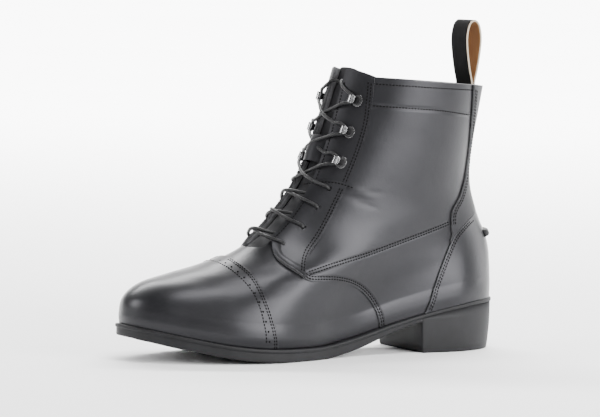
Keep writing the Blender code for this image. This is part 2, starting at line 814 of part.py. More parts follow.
def make_pull_loop():
    seat_turn = math.asin((LOOP_WIDTH / COLLAR_WIDTH) ** (1 / RINGS[-1][6])) / math.pi
    seat = off_skin(1.0, seat_turn, 1, -WALL - 2 * GAP)
    leg = (STRAP_THICKNESS + GAP) / 2
    middle_x = seat.x + STRAP_THICKNESS + GAP
    half = [(-leg, -LOOP_SEAT), (-leg, 0.0)]
    half += [(-deep * LOOP_DEPTH / 2, high * LOOP_HEIGHT) for deep, high in LOOP_SHAPE]
    centre = half + [(-x, z) for x, z in half[::-1]]
    slope = skin(1.0, 0.0, 1) - skin(0.9, 0.0, 1)
    lean = slope.x / slope.z
    rows = []
    bm = bmesh.new()
    for k, (x, z) in enumerate(centre):
        before, after = centre[max(k - 1, 0)], centre[min(k + 1, len(centre) - 1)]
        way = Vector((after[0] - before[0], after[1] - before[1])).normalized()
        over = Vector((-way.y, way.x)) * STRAP_THICKNESS / 2
        corners = []
        for sign, y in ((1, 1), (1, -1), (-1, -1), (-1, 1)):
            px, pz = x + sign * over.x, z + sign * over.y
            shift = lean * min(pz, 0.0)
            corners.append((middle_x + px + shift, y * LOOP_WIDTH / 2, seat.z + pz))
        rows.append([bm.verts.new(corner) for corner in corners])
    for low, high in zip(rows, rows[1:]):
        for k in range(4):
            n = (k + 1) % 4
            bm.faces.new((low[k], low[n], high[n], high[k]))
    bm.faces.new(rows[0])
    bm.faces.new(rows[-1])
    return bm


add("pull_loop", make_pull_loop(), (0.02, 0.019, 0.018), 0.6)
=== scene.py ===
import math

import bmesh
import bpy
import numpy as np
from mathutils import Matrix, Vector


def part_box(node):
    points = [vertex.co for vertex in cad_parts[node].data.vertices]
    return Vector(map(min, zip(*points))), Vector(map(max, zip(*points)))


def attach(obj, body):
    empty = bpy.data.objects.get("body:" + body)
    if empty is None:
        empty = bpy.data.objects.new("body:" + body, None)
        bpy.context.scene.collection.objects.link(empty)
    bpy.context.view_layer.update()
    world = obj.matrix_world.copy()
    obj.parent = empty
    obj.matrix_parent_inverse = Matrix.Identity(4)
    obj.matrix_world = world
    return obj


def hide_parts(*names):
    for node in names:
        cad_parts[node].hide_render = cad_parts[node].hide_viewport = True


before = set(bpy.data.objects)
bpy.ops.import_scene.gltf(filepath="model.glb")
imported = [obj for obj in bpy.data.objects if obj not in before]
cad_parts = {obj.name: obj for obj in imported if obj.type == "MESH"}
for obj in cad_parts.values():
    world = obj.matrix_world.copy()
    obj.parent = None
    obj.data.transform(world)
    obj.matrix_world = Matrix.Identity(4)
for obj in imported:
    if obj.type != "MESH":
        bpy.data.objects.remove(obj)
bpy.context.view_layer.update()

# Quarters: the two halves of the shaft, cut from one smooth black side leather and
# lined with thin dark fabric. They are drawn over the last, lie on top of the vamp
# and are stitched to it along the curved wing that runs down to the sole.
MM = 0.001
sole_low, sole_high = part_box("outsole")
LENGTH = sole_high.x - sole_low.x
BALL_WIDTH = 98 * MM
HEEL_END_RADIUS = 33 * MM
TOE_END_RADIUS = 28 * MM
HEEL_HEIGHT = sole_high.z
SOLE_THICKNESS = 9 * MM
WAIST_THICKNESS = 5.5 * MM
TOE_SPRING = 16 * MM
COLLAR_BACK_HEIGHT = 186 * MM
COLLAR_FRONT_HEIGHT = 193 * MM
COLLAR_WIDTH = 76 * MM
WALL = 1.8 * MM
LAYER = 1.2 * MM
GAP = 0.3 * MM
WELT_LEDGE = 4.2 * MM
THROAT_HALF_BOTTOM = 14 * MM
THROAT_HALF_TOP = 6.5 * MM
THROAT_LEVEL = 0.485
THROAT_TOP = 1.06
COLLAR_RISE = 0.021
RISE_START = 0.375
RISE_RUN = 0.06
EYELET_RADIUS = 1.9 * MM
FAR_FROM_SEAM = 9 * MM
# Side-view tables hold shares of these: from the heel, and up from the floor.
SIDE_VIEW = np.array([LENGTH, COLLAR_FRONT_HEIGHT])

# Outsole outline: share of the length, half width and middle shift as shares of BALL_WIDTH.
OUTLINE = (
    (0.12, 0.340, 0.000),
    (0.21, 0.330, 0.006),
    (0.31, 0.298, 0.018),
    (0.40, 0.288, 0.027),
    (0.49, 0.332, 0.031),
    (0.57, 0.410, 0.026),
    (0.66, 0.483, 0.006),
    (0.71, 0.500, -0.010),
    (0.78, 0.484, -0.028),
    (0.85, 0.424, -0.044),
    (0.91, 0.350, -0.058),
    (0.955, 0.262, -0.070),
)

# Side profile of the sole: share of the length, heel lift, toe spring, plate thickness.
BED = (
    (0.00, 1.000, 0.00, 0.00),
    (0.10, 0.965, 0.00, 0.00),
    (0.21, 0.760, 0.00, 0.00),
    (0.31, 0.500, 0.00, 0.15),
    (0.42, 0.185, 0.00, 0.90),
    (0.52, 0.015, 0.00, 1.10),
    (0.60, 0.000, 0.00, 1.15),
    (0.70, 0.000, 0.06, 1.05),
    (0.79, 0.000, 0.23, 1.00),
    (0.87, 0.000, 0.50, 0.95),
    (0.94, 0.000, 0.78, 0.85),
    (1.00, 0.000, 1.00, 0.75),
)

# Rings of the upper, from the sole's edge to the collar.
RINGS = (
    # back_at, back_up, front_at, front_up, half, follow, full
    (0.000, 0.000, 1.000, 0.000, 0.42, 1.00, 1.00),
    (0.000, 0.052, 1.001, 0.045, 0.44, 1.03, 1.00),
    (0.000, 0.111, 0.992, 0.110, 0.44, 0.98, 1.00),
    (0.000, 0.170, 0.953, 0.172, 0.43, 0.78, 0.98),
    (0.001, 0.229, 0.885, 0.224, 0.43, 0.50, 0.96),
    (0.009, 0.294, 0.801, 0.277, 0.42, 0.27, 0.95),
    (0.025, 0.359, 0.716, 0.338, 0.42, 0.10, 0.94),
    (0.040, 0.431, 0.650, 0.408, 0.43, 0.00, 0.92),
    (0.054, 0.510, 0.594, 0.490, 0.44, 0.00, 0.91),
    (0.061, 0.595, 0.550, 0.572, 0.45, 0.00, 0.90),
    (0.059, 0.686, 0.518, 0.660, 0.46, 0.00, 0.90),
    (0.052, 0.784, 0.490, 0.762, 0.47, 0.00, 0.90),
    (0.043, 0.882, 0.465, 0.872, 0.485, 0.00, 0.90),
    (0.033, 1.000, 0.438, 1.000, 0.50, 0.00, 0.90),
)
RING_LEVELS = [k / (len(RINGS) - 1) for k in range(len(RINGS))]

# The quarters' front and lower edge, seen from the side.
QUARTER_EDGE = (
    (0.350, -0.060),
    (0.356, 0.080),
    (0.374, 0.168),
    (0.411, 0.227),
    (0.455, 0.261),
    (0.505, 0.277),
    (0.550, 0.280),
    (0.584, 0.284),
    (0.606, 0.308),
    (0.631, 0.335),
    (0.643, 0.358),
    (0.643, 0.385),
    (0.636, 0.416),
    (0.645, 0.640),
)
EYELETS = ((0.480, 0.790), (0.550, 0.785), (0.620, 0.790), (0.690, 0.800))


def smooth(stations, values, at):
    """Values on a smooth curve through the table, for an array of stations."""
    stations, values = np.asarray(stations, float), np.asarray(values, float)
    at = np.clip(at, stations[0], stations[-1])
    last = len(stations) - 1
    low = np.clip(np.arange(last + 1) - 1, 0, last)
    high = np.clip(np.arange(last + 1) + 1, 0, last)
    slopes = (values[high] - values[low]) / (stations[high] - stations[low])
    k = np.clip(np.searchsorted(stations, at, "right") - 1, 0, last - 1)
    step = stations[k + 1] - stations[k]
    t = (at - stations[k]) / step
    rise = (2 * t**3 - 3 * t**2 + 1) * values[k] + (3 * t**2 - 2 * t**3) * values[k + 1]
    return rise + step * ((t**3 - 2 * t**2 + t) * slopes[k] + (t**3 - t**2) * slopes[k + 1])


def turn_of(share):
    return np.arccos(1 - 2 * np.asarray(share, float)) / np.pi


def share_of(turn):
    return (1 - np.cos(np.pi * turn)) / 2


OUTLINE_TURNS = [0.0] + [float(turn_of(row[0])) for row in OUTLINE] + [1.0]
OUTLINE_SWELLS = (
    [math.sqrt(HEEL_END_RADIUS * LENGTH / 2)]
    + [row[1] * BALL_WIDTH / math.sin(math.pi * float(turn_of(row[0]))) for row in OUTLINE]
    + [math.sqrt(TOE_END_RADIUS * LENGTH / 2)]
)
OUTLINE_SHIFTS = [0.0] + [row[2] * BALL_WIDTH for row in OUTLINE] + [-0.08 * BALL_WIDTH]


def swell(turn):
    return smooth(OUTLINE_TURNS, OUTLINE_SWELLS, turn)


def lean_of(share):
    return smooth(OUTLINE_TURNS, OUTLINE_SHIFTS, turn_of(share))


box_shares = np.linspace(0, 1, 401)
box_halves = swell(turn_of(box_shares)) * np.sin(np.pi * turn_of(box_shares))
BOX_SHIFT = (np.max(lean_of(box_shares) + box_halves) + np.min(lean_of(box_shares) - box_halves)) / 2


def middle(share):
    """The sole's middle line, as a distance to the outer side."""
    return lean_of(share) - BOX_SHIFT


def bed(share):
    """Height of the outsole's top."""
    stations = [row[0] for row in BED]
    lift = smooth(stations, [row[1] for row in BED], share)
    spring = smooth(stations, [row[2] for row in BED], share)
    return SOLE_THICKNESS + lift * (HEEL_HEIGHT - SOLE_THICKNESS) + spring * TOE_SPRING


def x_at(share):
    return (share - 0.5) * LENGTH


def share_at(x):
    return np.clip(x / LENGTH + 0.5, 0.0, 1.0)


def skin(level, column):
    """Points of the vamp's outer face. A column counts round a ring: 0 is the back
    seam, 1 the front and 2 the back seam again, by the outer and then the inner side."""
    column = np.mod(column, 2.0)
    side = np.where(column <= 1.0, 1.0, -1.0)
    turn = np.where(column <= 1.0, column, 2.0 - column)
    back_at, back_up, front_at, front_up, half, follow, full = [
        smooth(RING_LEVELS, [row[c] for row in RINGS], level) for c in range(7)
    ]
    way = share_of(turn)
    back_x = x_at(back_at) + WELT_LEDGE
    front_x = x_at(front_at) - WELT_LEDGE
    x = back_x + way * (front_x - back_x)
    back_bed, front_bed = bed(share_at(back_x)), bed(share_at(front_x))
    back_rise = back_up * (COLLAR_BACK_HEIGHT - back_bed)
    front_rise = front_up * (COLLAR_FRONT_HEIGHT - front_bed)
    over_bed = bed(share_at(x)) + back_rise + way * (front_rise - back_rise)
    back_z, front_z = back_bed + back_rise, front_bed + front_rise
    straight = back_z + way * (front_z - back_z)
    z = straight + np.minimum(follow, 1.0) * (over_bed - straight)
    round_off = np.maximum(np.sin(np.pi * turn), 0.0)
    foot = (swell(turn) - WELT_LEDGE) * round_off
    oval = half * COLLAR_WIDTH * round_off**full
    width = follow * foot + np.maximum(0.0, 1.0 - follow) * oval
    low = np.clip((level - 0.3) / 0.35, 0.0, 1.0)
    shift = middle(share_at(x)) * (1 - low * low * (3 - 2 * low))
    return np.stack([x, shift + side * width, z + GAP], -1)


def on_face(level, column, out):
    """Points this far out from the vamp's face, with the outward directions there."""
    at = np.minimum(level, 1.0)
    step = 0.008
    low, high = np.maximum(at - step, 0.0), np.minimum(at + step, 1.0)
    up = (skin(high, column) - skin(low, column)) / (high - low)[..., None]
    ahead = skin(at, column + step) - skin(at, column - step)
    normal = np.cross(up, ahead)
    normal[..., 2] *= np.minimum(at / 0.12, 1.0)
    normal /= np.linalg.norm(normal, axis=-1)[..., None]
    point = skin(at, column) + normal * np.asarray(out)[..., None] + up * (level - at)[..., None]
    floor = bed(share_at(point[..., 0])) + GAP
    sunk = np.clip(1 - level / 0.02, 0.0, 1.0)
    point[..., 2] += sunk * (floor - point[..., 2])
    return point, normal


def spot_on_face(level, column, out):
    """One point this far out from the vamp's face."""
    return on_face(np.array([level]), np.array([column]), np.array([out]))[0][0]


def curve_through(rows, count):
    """More points of the smooth curve through a table of side-view points."""
    rows = np.asarray(rows, float)
    way = np.concatenate([[0.0], np.cumsum(np.linalg.norm(np.diff(rows, axis=0), axis=1))])
    at = np.linspace(0, way[-1], count)
    return np.stack([smooth(way, rows[:, k], at) for k in range(rows.shape[1])], -1)


def to_stretch(px, pz, a, b):
    """Side-view distance to one straight stretch of a line."""
    edge = b - a
    along = np.clip(((px - a[0]) * edge[0] + (pz - a[1]) * edge[1]) / (edge @ edge), 0, 1)
    return np.hypot(px - a[0] - along * edge[0], pz - a[1] - along * edge[1])


def inside(points, field):
    """Signed distance in the side view to a closed outline, positive inside it."""
    field = np.asarray(field, float) * SIDE_VIEW
    px, pz = points[..., 0] + LENGTH / 2, points[..., 2]
    nearest = np.full(px.shape, 1e9)
    within = np.zeros(px.shape, bool)
    for a, b in zip(field, np.roll(field, -1, axis=0)):
        nearest = np.minimum(nearest, to_stretch(px, pz, a, b))
        if a[1] != b[1]:
            crossing = (a[1] > pz) != (b[1] > pz)
            left = px < a[0] + (pz - a[1]) * (b[0] - a[0]) / (b[1] - a[1])
            within ^= crossing & left
    return np.where(within, nearest, -nearest)


def throat_half(level):
    """Half the width of the slot between the two lace bands."""
    rise = (level - THROAT_LEVEL) / (THROAT_TOP - THROAT_LEVEL)
    return THROAT_HALF_BOTTOM + (THROAT_HALF_TOP - THROAT_HALF_BOTTOM) * rise


def clear_of_throat(points, level):
    """How far a point lies outside the slot between the two lace bands."""
    beside = np.abs(points[..., 1]) - throat_half(level)
    behind = x_at(0.30) - points[..., 0]
    below = (THROAT_LEVEL - level) * COLLAR_FRONT_HEIGHT
    return np.maximum(np.maximum(beside, behind), below)


def below_rim(points, level):
    """How far a point lies below the collar's edge, which rises over the lace bands."""
    forward = points[..., 0] / LENGTH + 0.5 - RISE_START
    lift = COLLAR_RISE * np.clip(forward / RISE_RUN, 0.0, 1.0)
    return (1.0 + lift - level) * COLLAR_FRONT_HEIGHT


def clear_of_holes(points):
    """How far a point lies outside the lace holes."""
    clear = np.full(points.shape[:-1], 1e9)
    for level, turn in EYELETS:
        for column in (turn, 2 - turn):
            hole = skin(level, column)
            clear = np.minimum(clear, np.linalg.norm(points - hole, axis=-1) - EYELET_RADIUS)
    return clear


def relief(points):
    """Soft troughs and ridges of the worn leather, placed on the last."""
    height = np.zeros(points.shape[:-1])
    share = points[..., 0] / LENGTH + 0.5
    up = points[..., 2] / COLLAR_FRONT_HEIGHT
    for at_share, at_up, slope, long, wide, deep in CREASES:
        dx, dz = (share - at_share) * LENGTH, (up - at_up) * COLLAR_FRONT_HEIGHT
        along = dx * math.cos(slope) + dz * math.sin(slope)
        across = dz * math.cos(slope) - dx * math.sin(slope)
        height += deep * np.exp(-((along / long) ** 2) - (across / wide) ** 2)
    return height


# Creases: share, height share, slope, half length, half width, depth (out is positive).
CREASES = (
    (0.445, 0.575, 0.25, 12 * MM, 1.8 * MM, -0.50 * MM),
    (0.420, 0.548, 0.30, 10 * MM, 1.7 * MM, -0.40 * MM),
    (0.438, 0.600, 0.18, 9 * MM, 2.0 * MM, 0.35 * MM),
    (0.400, 0.590, 0.10, 8 * MM, 1.8 * MM, -0.25 * MM),
    (0.140, 0.600, 0.10, 14 * MM, 5.0 * MM, -0.25 * MM),
    (0.300, 0.560, 0.35, 26 * MM, 12 * MM, -0.45 * MM),
    (0.280, 0.760, 1.45, 30 * MM, 14 * MM, 0.40 * MM),
    (0.560, 0.230, -0.15, 20 * MM, 9.0 * MM, -0.30 * MM),
    (0.500, 0.180, 0.10, 22 * MM, 10 * MM, 0.25 * MM),
    (0.625, 0.275, -0.60, 12 * MM, 4.5 * MM, -0.25 * MM),
    (0.660, 0.300, -0.70, 12 * MM, 4.5 * MM, 0.20 * MM),
)


def shifted(line, aside):
    """A side-view line moved this far to its left."""
    real = line * SIDE_VIEW
    way = np.gradient(real, axis=0)
    way /= np.linalg.norm(way, axis=1)[:, None]
    return (real + np.stack([-way[:, 1], way[:, 0]], -1) * aside) / SIDE_VIEW


def seam_distance(points):
    """Side-view distance to the middle of the nearest seam, in millimetres."""
    px, pz = points[..., 0] + LENGTH / 2, points[..., 2]
    best = np.full(px.shape, FAR_FROM_SEAM)
    for line in SEAM_LINES:
        real = line * SIDE_VIEW
        for a, b in zip(real, real[1:]):
            best = np.minimum(best, to_stretch(px, pz, a, b))
    return best / MM


# Lines of sewing, seen from the side.
WING_SEAM = curve_through(QUARTER_EDGE, 80)
WING_SEAM = WING_SEAM[WING_SEAM[:, 1] < 0.42]
STRAIGHT_SEAM = ((0.582, 0.309), (0.503, 0.339), (0.413, 0.369), (0.294, 0.417), (0.163, 0.470))
STRAIGHT_SEAM = curve_through(STRAIGHT_SEAM, 30)
BAND_SEAM = curve_through(((0.396, 0.897), (0.312, 0.890), (0.228, 0.882), (0.113, 0.861)), 20)
DIVISION = ((0.530, 0.612), (0.510, 0.624), (0.490, 0.628), (0.467, 0.624), (0.436, 0.608))
DIVISION = curve_through(DIVISION, 20)
SEAM_LINES = [shifted(WING_SEAM, 2.3 * MM), STRAIGHT_SEAM, BAND_SEAM]


def grid(columns, rows):
    """A flat grid of this many cells, with its places from -0.5 to 0.5."""
    bm = bmesh.new()
    bmesh.ops.create_grid(bm, x_segments=columns, y_segments=rows, size=0.5)
    bm.verts.ensure_lookup_table()
    return bm, np.array([vert.co for vert in bm.verts])


def stand(name, mesh, materials, node):
    """Bring a mesh into the scene as a piece of the boot."""
    mesh.shade_smooth()
    made = bpy.data.objects.new(name, mesh)
    bpy.context.scene.collection.objects.link(made)
    for material in materials:
        mesh.materials.append(material)
    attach(made, "root")
    if node:
        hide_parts(node)
    return made


def finish(name, bm, materials, node=None):
    """Turn worked vertices into a piece of the boot."""
    mesh = bpy.data.meshes.new(name)
    bm.to_mesh(mesh)
    bm.free()
    return stand(name, mesh, materials, node)


def thicken(piece, thickness, offset=-1.0):
    """Give a sheet its thickness, with its own back and rim if it has materials for them."""
    wall = piece.modifiers.new("thickness", "SOLIDIFY")
    wall.thickness = thickness
    wall.offset = offset
    if len(piece.data.materials) == 3:
        wall.material_offset = 1
        wall.material_offset_rim = 2


def soften(piece, width, angle=30):
    """Round the edges that are sharper than this many degrees."""
    soft = piece.modifiers.new("edge", "BEVEL")
    soft.width = width
    soft.segments = 2
    soft.limit_method = "ANGLE"
    soft.angle_limit = math.radians(angle)


def panel(name, level_span, column_span, cells, out, keep, thickness, materials, node=None):
    """A cut piece of leather over the last: a grid laid on the face, trimmed where
    keep turns negative, its border drawn onto the cut, and given its thickness."""
    rows, columns = cells
    bm, flat = grid(columns, rows)
    mesh = bpy.data.meshes.new(name)
    bm.to_mesh(mesh)
    bm.free()
    count = len(flat)
    column = column_span[0] + (flat[:, 0] + 0.5) * (column_span[1] - column_span[0])
    level = level_span[0] + (flat[:, 1] + 0.5) * (level_span[1] - level_span[0])
    value = keep(skin(np.minimum(level, 1.0), column), level)
    corners = np.empty(len(mesh.polygons) * 4, int)
    mesh.polygons.foreach_get("vertices", corners)
    corners = corners.reshape(-1, 4)
    kept = value >= 0
    mixed = corners[kept[corners].any(1) & ~kept[corners].all(1)]
    best = np.full(count, -1)
    for near in (2, 1, 3):
        for k in range(4):
            mine, other = mixed[:, k], mixed[:, (k + near) % 4]
            use = ~kept[mine] & kept[other]
            best[mine[use]] = other[use]
    moved = np.where(best >= 0)[0]
    other = best[moved]
    share = value[moved] / (value[moved] - value[other])
    column[moved] += share * (column[other] - column[moved])
    level[moved] += share * (level[other] - level[moved])
    kept[moved] = True
    points, normals = on_face(level, column, np.full(count, out))
    points += normals * relief(points)[:, None]
    mesh.vertices.foreach_set("co", points.ravel())
    seam = mesh.attributes.new("seam", "FLOAT", "POINT")
    seam.data.foreach_set("value", seam_distance(skin(np.minimum(level, 1.0), column)))
    bm = bmesh.new()
    bm.from_mesh(mesh)
    bm.verts.ensure_lookup_table()
    lost = [bm.verts[k] for k in np.where(~kept)[0]]
    bmesh.ops.delete(bm, geom=lost, context="VERTS")
    thin = [face for face in bm.faces if face.calc_area() < 1e-10]
    bmesh.ops.delete(bm, geom=thin, context="FACES")
    bmesh.ops.reverse_faces(bm, faces=bm.faces)
    bm.to_mesh(mesh)
    bm.free()
    made = stand(name, mesh, materials, node)
    thicken(made, thickness)
    soften(made, 0.3 * MM, 50)


def node_tree(name):
    """A new material's nodes and links, with its shader."""
    material = bpy.data.materials.new(name)
    material.use_nodes = True
    tree = material.node_tree
    return material, tree, tree.nodes["Principled BSDF"]


def pattern(tree, kind, **settings):
    """A texture laid out in the piece's own coordinates."""
    where = tree.nodes.new("ShaderNodeTexCoord")
    texture = tree.nodes.new("ShaderNodeTex" + kind)
    for socket, value in settings.items():
        texture.inputs[socket].default_value = value
    tree.links.new(where.outputs["Object"], texture.inputs["Vector"])
    return texture


def tint(tree, texture, dark, light, low=0.0, high=1.0):
    """Colour a piece from dark to light, as the texture rises from low to high."""
    ramp = tree.nodes.new("ShaderNodeValToRGB")
    for stop, place, tone in zip(ramp.color_ramp.elements, (low, high), (dark, light)):
        stop.position = place
        stop.color = (*tone, 1)
    tree.links.new(texture.outputs["Fac"], ramp.inputs["Fac"])
    tree.links.new(ramp.outputs["Color"], tree.nodes["Principled BSDF"].inputs["Base Color"])


def emboss(tree, height, strength, depth, over=None):
    """Bump a piece by a height, on top of the bump given before."""
    bump = tree.nodes.new("ShaderNodeBump")
    bump.inputs["Strength"].default_value = strength
    bump.inputs["Distance"].default_value = depth
    tree.links.new(height, bump.inputs["Height"])
    if over:
        tree.links.new(over.outputs["Normal"], bump.inputs["Normal"])
    tree.links.new(bump.outputs["Normal"], tree.nodes["Principled BSDF"].inputs["Normal"])
    return bump


def roughen(tree, texture, low, high):
    """Vary the roughness between two values."""
    span = tree.nodes.new("ShaderNodeMapRange")
    span.inputs["To Min"].default_value = low
    span.inputs["To Max"].default_value = high
    tree.links.new(texture.outputs["Fac"], span.inputs["Value"])
    tree.links.new(span.outputs["Result"], tree.nodes["Principled BSDF"].inputs["Roughness"])


def leather(name, dark, light, roughness, grain, coat):
    """Dyed side leather: pores and fine grain, a slightly uneven hand, pressed seams, a coat."""
    material, tree, shader = node_tree(name)
    cloud = pattern(tree, "Noise", Scale=42.0, Detail=5.0)
    tint(tree, cloud, dark, light, 0.3, 0.75)
    roughen(tree, cloud, roughness - 0.05, roughness + 0.07)
    pores = pattern(tree, "Voronoi", Scale=1100.0)
    pores.feature = "DISTANCE_TO_EDGE"
    fine = pattern(tree, "Noise", Scale=650.0, Detail=4.0)
    both = tree.nodes.new("ShaderNodeMath")
    both.operation = "MULTIPLY_ADD"
    both.inputs[1].default_value = 0.6
    tree.links.new(pores.outputs["Distance"], both.inputs[0])
    tree.links.new(fine.outputs["Fac"], both.inputs[2])
    grain_bump = emboss(tree, both.outputs["Value"], grain, 0.15 * MM)
    uneven = pattern(tree, "Noise", Scale=95.0, Detail=3.0)
    uneven_bump = emboss(tree, uneven.outputs["Fac"], 0.35, 0.35 * MM, grain_bump)
    seam = tree.nodes.new("ShaderNodeAttribute")
    seam.attribute_name = "seam"
    press = tree.nodes.new("ShaderNodeMapRange")
    press.interpolation_type = "SMOOTHSTEP"
    press.inputs["From Min"].default_value = 0.4
    press.inputs["From Max"].default_value = 2.6
    tree.links.new(seam.outputs["Fac"], press.inputs["Value"])
    emboss(tree, press.outputs["Result"], 0.7, 0.5 * MM, uneven_bump)
    shader.inputs["Specular IOR Level"].default_value = 0.26
    shader.inputs["Specular Tint"].default_value = (0.93, 0.92, 1.0, 1)
    shader.inputs["Coat Weight"].default_value = coat
    shader.inputs["Coat Roughness"].default_value = 0.35
    return material


def plain(name, kind, scale, dark, light, roughness, specular=0.5, bump=None, bands=None, **settings):
    """A material in two tones of one texture, with a bump of the given strength and depth."""
    material, tree, shader = node_tree(name)
    texture = pattern(tree, kind, Scale=scale, **settings)
    if bands:
        texture.bands_direction = bands
    tint(tree, texture, dark, light)
    if bump:
        emboss(tree, texture.outputs["Fac"], *bump)
    shader.inputs["Roughness"].default_value = roughness
    shader.inputs["Specular IOR Level"].default_value = specular
    return material


def woven_lining():
    return plain("lining_cloth", "Noise", 900.0, (0.008, 0.008, 0.009), (0.03, 0.03, 0.032), 0.9,
                 bump=(0.5, 0.2 * MM))


smooth_leather = leather("smooth_leather", (0.0045, 0.0046, 0.0052), (0.0075, 0.0076, 0.0086),
                         0.36, 0.22, 0.12)
lining = woven_lining()
# Rim colour of the cut pieces: light grey, partly the bare cut edge's own tone and partly a painted
# highlight where the edges catch the light.
edge_tone_and_highlight = plain("cut_edge_and_highlight", "Noise", 700.0, (0.03, 0.03, 0.032), (0.10, 0.10, 0.105), 0.6)
lined = (smooth_leather, lining, edge_tone_and_highlight)
unlined = (smooth_leather, smooth_leather, edge_tone_and_highlight)
quarter_line = curve_through(QUARTER_EDGE, 80)
vamp_field = np.concatenate([quarter_line, [(1.2, 0.64), (1.2, -0.06)]])


def quarter_keep(points, level):
    keep = np.minimum(-inside(points, vamp_field), clear_of_throat(points, level))
    return np.minimum(np.minimum(keep, clear_of_holes(points)), below_rim(points, level))


for name, span in (("quarter_outer", (0.0, 1.0)), ("quarter_inner", (1.0, 2.0))):
    panel(name, (0.0, 1.04), span, (146, 190), LAYER, quarter_keep, LAYER + WALL,
          lined, "upper")


def on_last(line, side):
    """Levels and columns of a side-view line on one side of the last."""
    goal = line * SIDE_VIEW - (LENGTH / 2, 0.0)
    levels, turns = np.meshgrid(np.linspace(0, 1, 131), np.linspace(0, 1, 161), indexing="ij")
    seen = skin(levels, turns if side > 0 else 2 - turns)[..., (0, 2)].reshape(-1, 2)
    near = np.array([np.argmin(((seen - spot) ** 2).sum(1)) for spot in goal])
    at = np.stack([levels.ravel()[near], turns.ravel()[near]], -1)

    def side_view(place):
        return skin(place[:, 0], place[:, 1] if side > 0 else 2 - place[:, 1])[:, (0, 2)]

    for turn_round in range(5):
        here = side_view(at)
        step = 1e-4
        by_level = (side_view(np.clip(at + (step, 0), 0, 1)) - here) / step
        by_turn = (side_view(at + (0, -step)) - here) / -step
        miss = goal - here
        area = by_level[:, 0] * by_turn[:, 1] - by_level[:, 1] * by_turn[:, 0]
        area = np.where(np.abs(area) < 1e-6, 1e-6, area)
        level_move = (miss[:, 0] * by_turn[:, 1] - miss[:, 1] * by_turn[:, 0]) / area
        turn_move = (by_level[:, 0] * miss[:, 1] - by_level[:, 1] * miss[:, 0]) / area
        at[:, 0] = np.clip(at[:, 0] + np.clip(level_move, -0.02, 0.02), 0.0, 1.0)
        at[:, 1] = np.clip(at[:, 1] + np.clip(turn_move, -0.02, 0.02), 0.0002, 1.0)
    good = np.linalg.norm(side_view(at) - goal, axis=1) < 0.7 * MM
    at = at[good]
    return at[:, 0], at[:, 1] if side > 0 else 2 - at[:, 1]


black_thread = plain("black_thread", "Wave", 600.0, (0.001, 0.001, 0.001), (0.004, 0.004, 0.004), 0.85, 0.1)


def sew(name, rows, out, pitch=2.3 * MM, thick=0.5 * MM, long=0.42):
    """Rows of stitches: each row is a line of levels and columns on the last."""
    bm = bmesh.new()
    for level, column in rows:
        if len(level) < 3:
            continue
        points, normals = on_face(level, column, np.full(len(level), out))
        points += normals * relief(points)[:, None]
        way = np.concatenate([[0.0], np.cumsum(np.linalg.norm(np.diff(points, axis=0), axis=1))])
        count = max(int(way[-1] / pitch), 1)
        spots = (np.arange(count) + 0.5) * pitch
        row = bmesh.new()
        for spot in spots:
            place = Vector([np.interp(spot, way, points[:, k]) for k in range(3)])
            ahead = Vector([np.interp(spot + 0.3 * MM, way, points[:, k]) for k in range(3)]) - place
            normal = Vector([np.interp(spot, way, normals[:, k]) for k in range(3)]).normalized()
            if ahead.length < 1e-6:
                continue
            ahead.normalize()
            across = normal.cross(ahead).normalized()
            turned = Matrix((ahead * pitch * long, across * thick, normal * thick * 0.6)).transposed()
            turned = Matrix.Translation(place + normal * 0.08 * MM) @ turned.to_4x4()
            bmesh.ops.create_uvsphere(row, u_segments=6, v_segments=4, radius=1.0, matrix=turned)
        row_mesh = bpy.data.meshes.new("row")
        row.to_mesh(row_mesh)
        row.free()
        bm.from_mesh(row_mesh)
        bpy.data.meshes.remove(row_mesh)
    return finish(name, bm, (black_thread,))


rows = []
for side in (1, -1):
    for aside in (1.5 * MM, 3.1 * MM):
        rows.append(on_last(shifted(WING_SEAM, aside), side))
    for aside in (-0.9 * MM, 0.9 * MM):
        rows.append(on_last(shifted(STRAIGHT_SEAM, aside), side))
    rows.append(on_last(BAND_SEAM, side))
    rim = np.linspace(0.2, 0.86, 120)
    rows.append((np.full(120, 0.985), rim if side > 0 else 2 - rim))
sew("quarter_stitches", rows, LAYER)


# Vamp: the front of the foot in the same leather, lasted under the insole and
# tucked under the quarters and the toe cap, where it is stitched down.
def vamp_keep(points, level):
    throat = np.minimum(clear_of_throat(points, level), (0.52 - level) * COLLAR_FRONT_HEIGHT)
    under_quarters = inside(points, vamp_field) + 6 * MM
    return np.minimum(under_quarters, throat)


panel("vamp", (0.0, 0.56), (0.36, 1.64), (95, 300), 0.0, vamp_keep, WALL,
      lined, "upper")

# Toe cap: a second layer of leather over the front of the vamp, lasted with it and
# held along its back edge by two close rows of stitches.
CAP_EDGE = (
    (0.668, -0.060),
    (0.676, 0.060),
    (0.687, 0.145),
    (0.700, 0.223),
    (0.713, 0.302),
    (0.730, 0.352),
    (0.752, 0.480),
)
cap_line = curve_through(CAP_EDGE, 80)
cap_field = np.concatenate([cap_line, [(1.2, 0.48), (1.2, -0.06)]])
panel("cap_leather", (0.0, 0.56), (0.5, 1.5), (95, 240), GAP + LAYER,
      lambda points, level: inside(points, cap_field), LAYER,
      unlined, "toe_cap")

CAP_INNER_ROW = (
    (0.709, 0.075),
    (0.712, 0.121),
    (0.719, 0.186),
    (0.731, 0.253),
    (0.752, 0.312),
    (0.770, 0.352),
    (0.790, 0.400),
)
inner_line = curve_through(CAP_INNER_ROW, 80)


def across_cap(line, lowest):
    """A line carried over the cap from the sole on one side to the sole on the other."""
    line = line[line[:, 1] > lowest]
    (up_levels, up_columns), (levels, columns) = on_last(line, 1), on_last(line, -1)
    return np.concatenate([up_levels, levels[::-1]]), np.concatenate([up_columns, columns[::-1]])


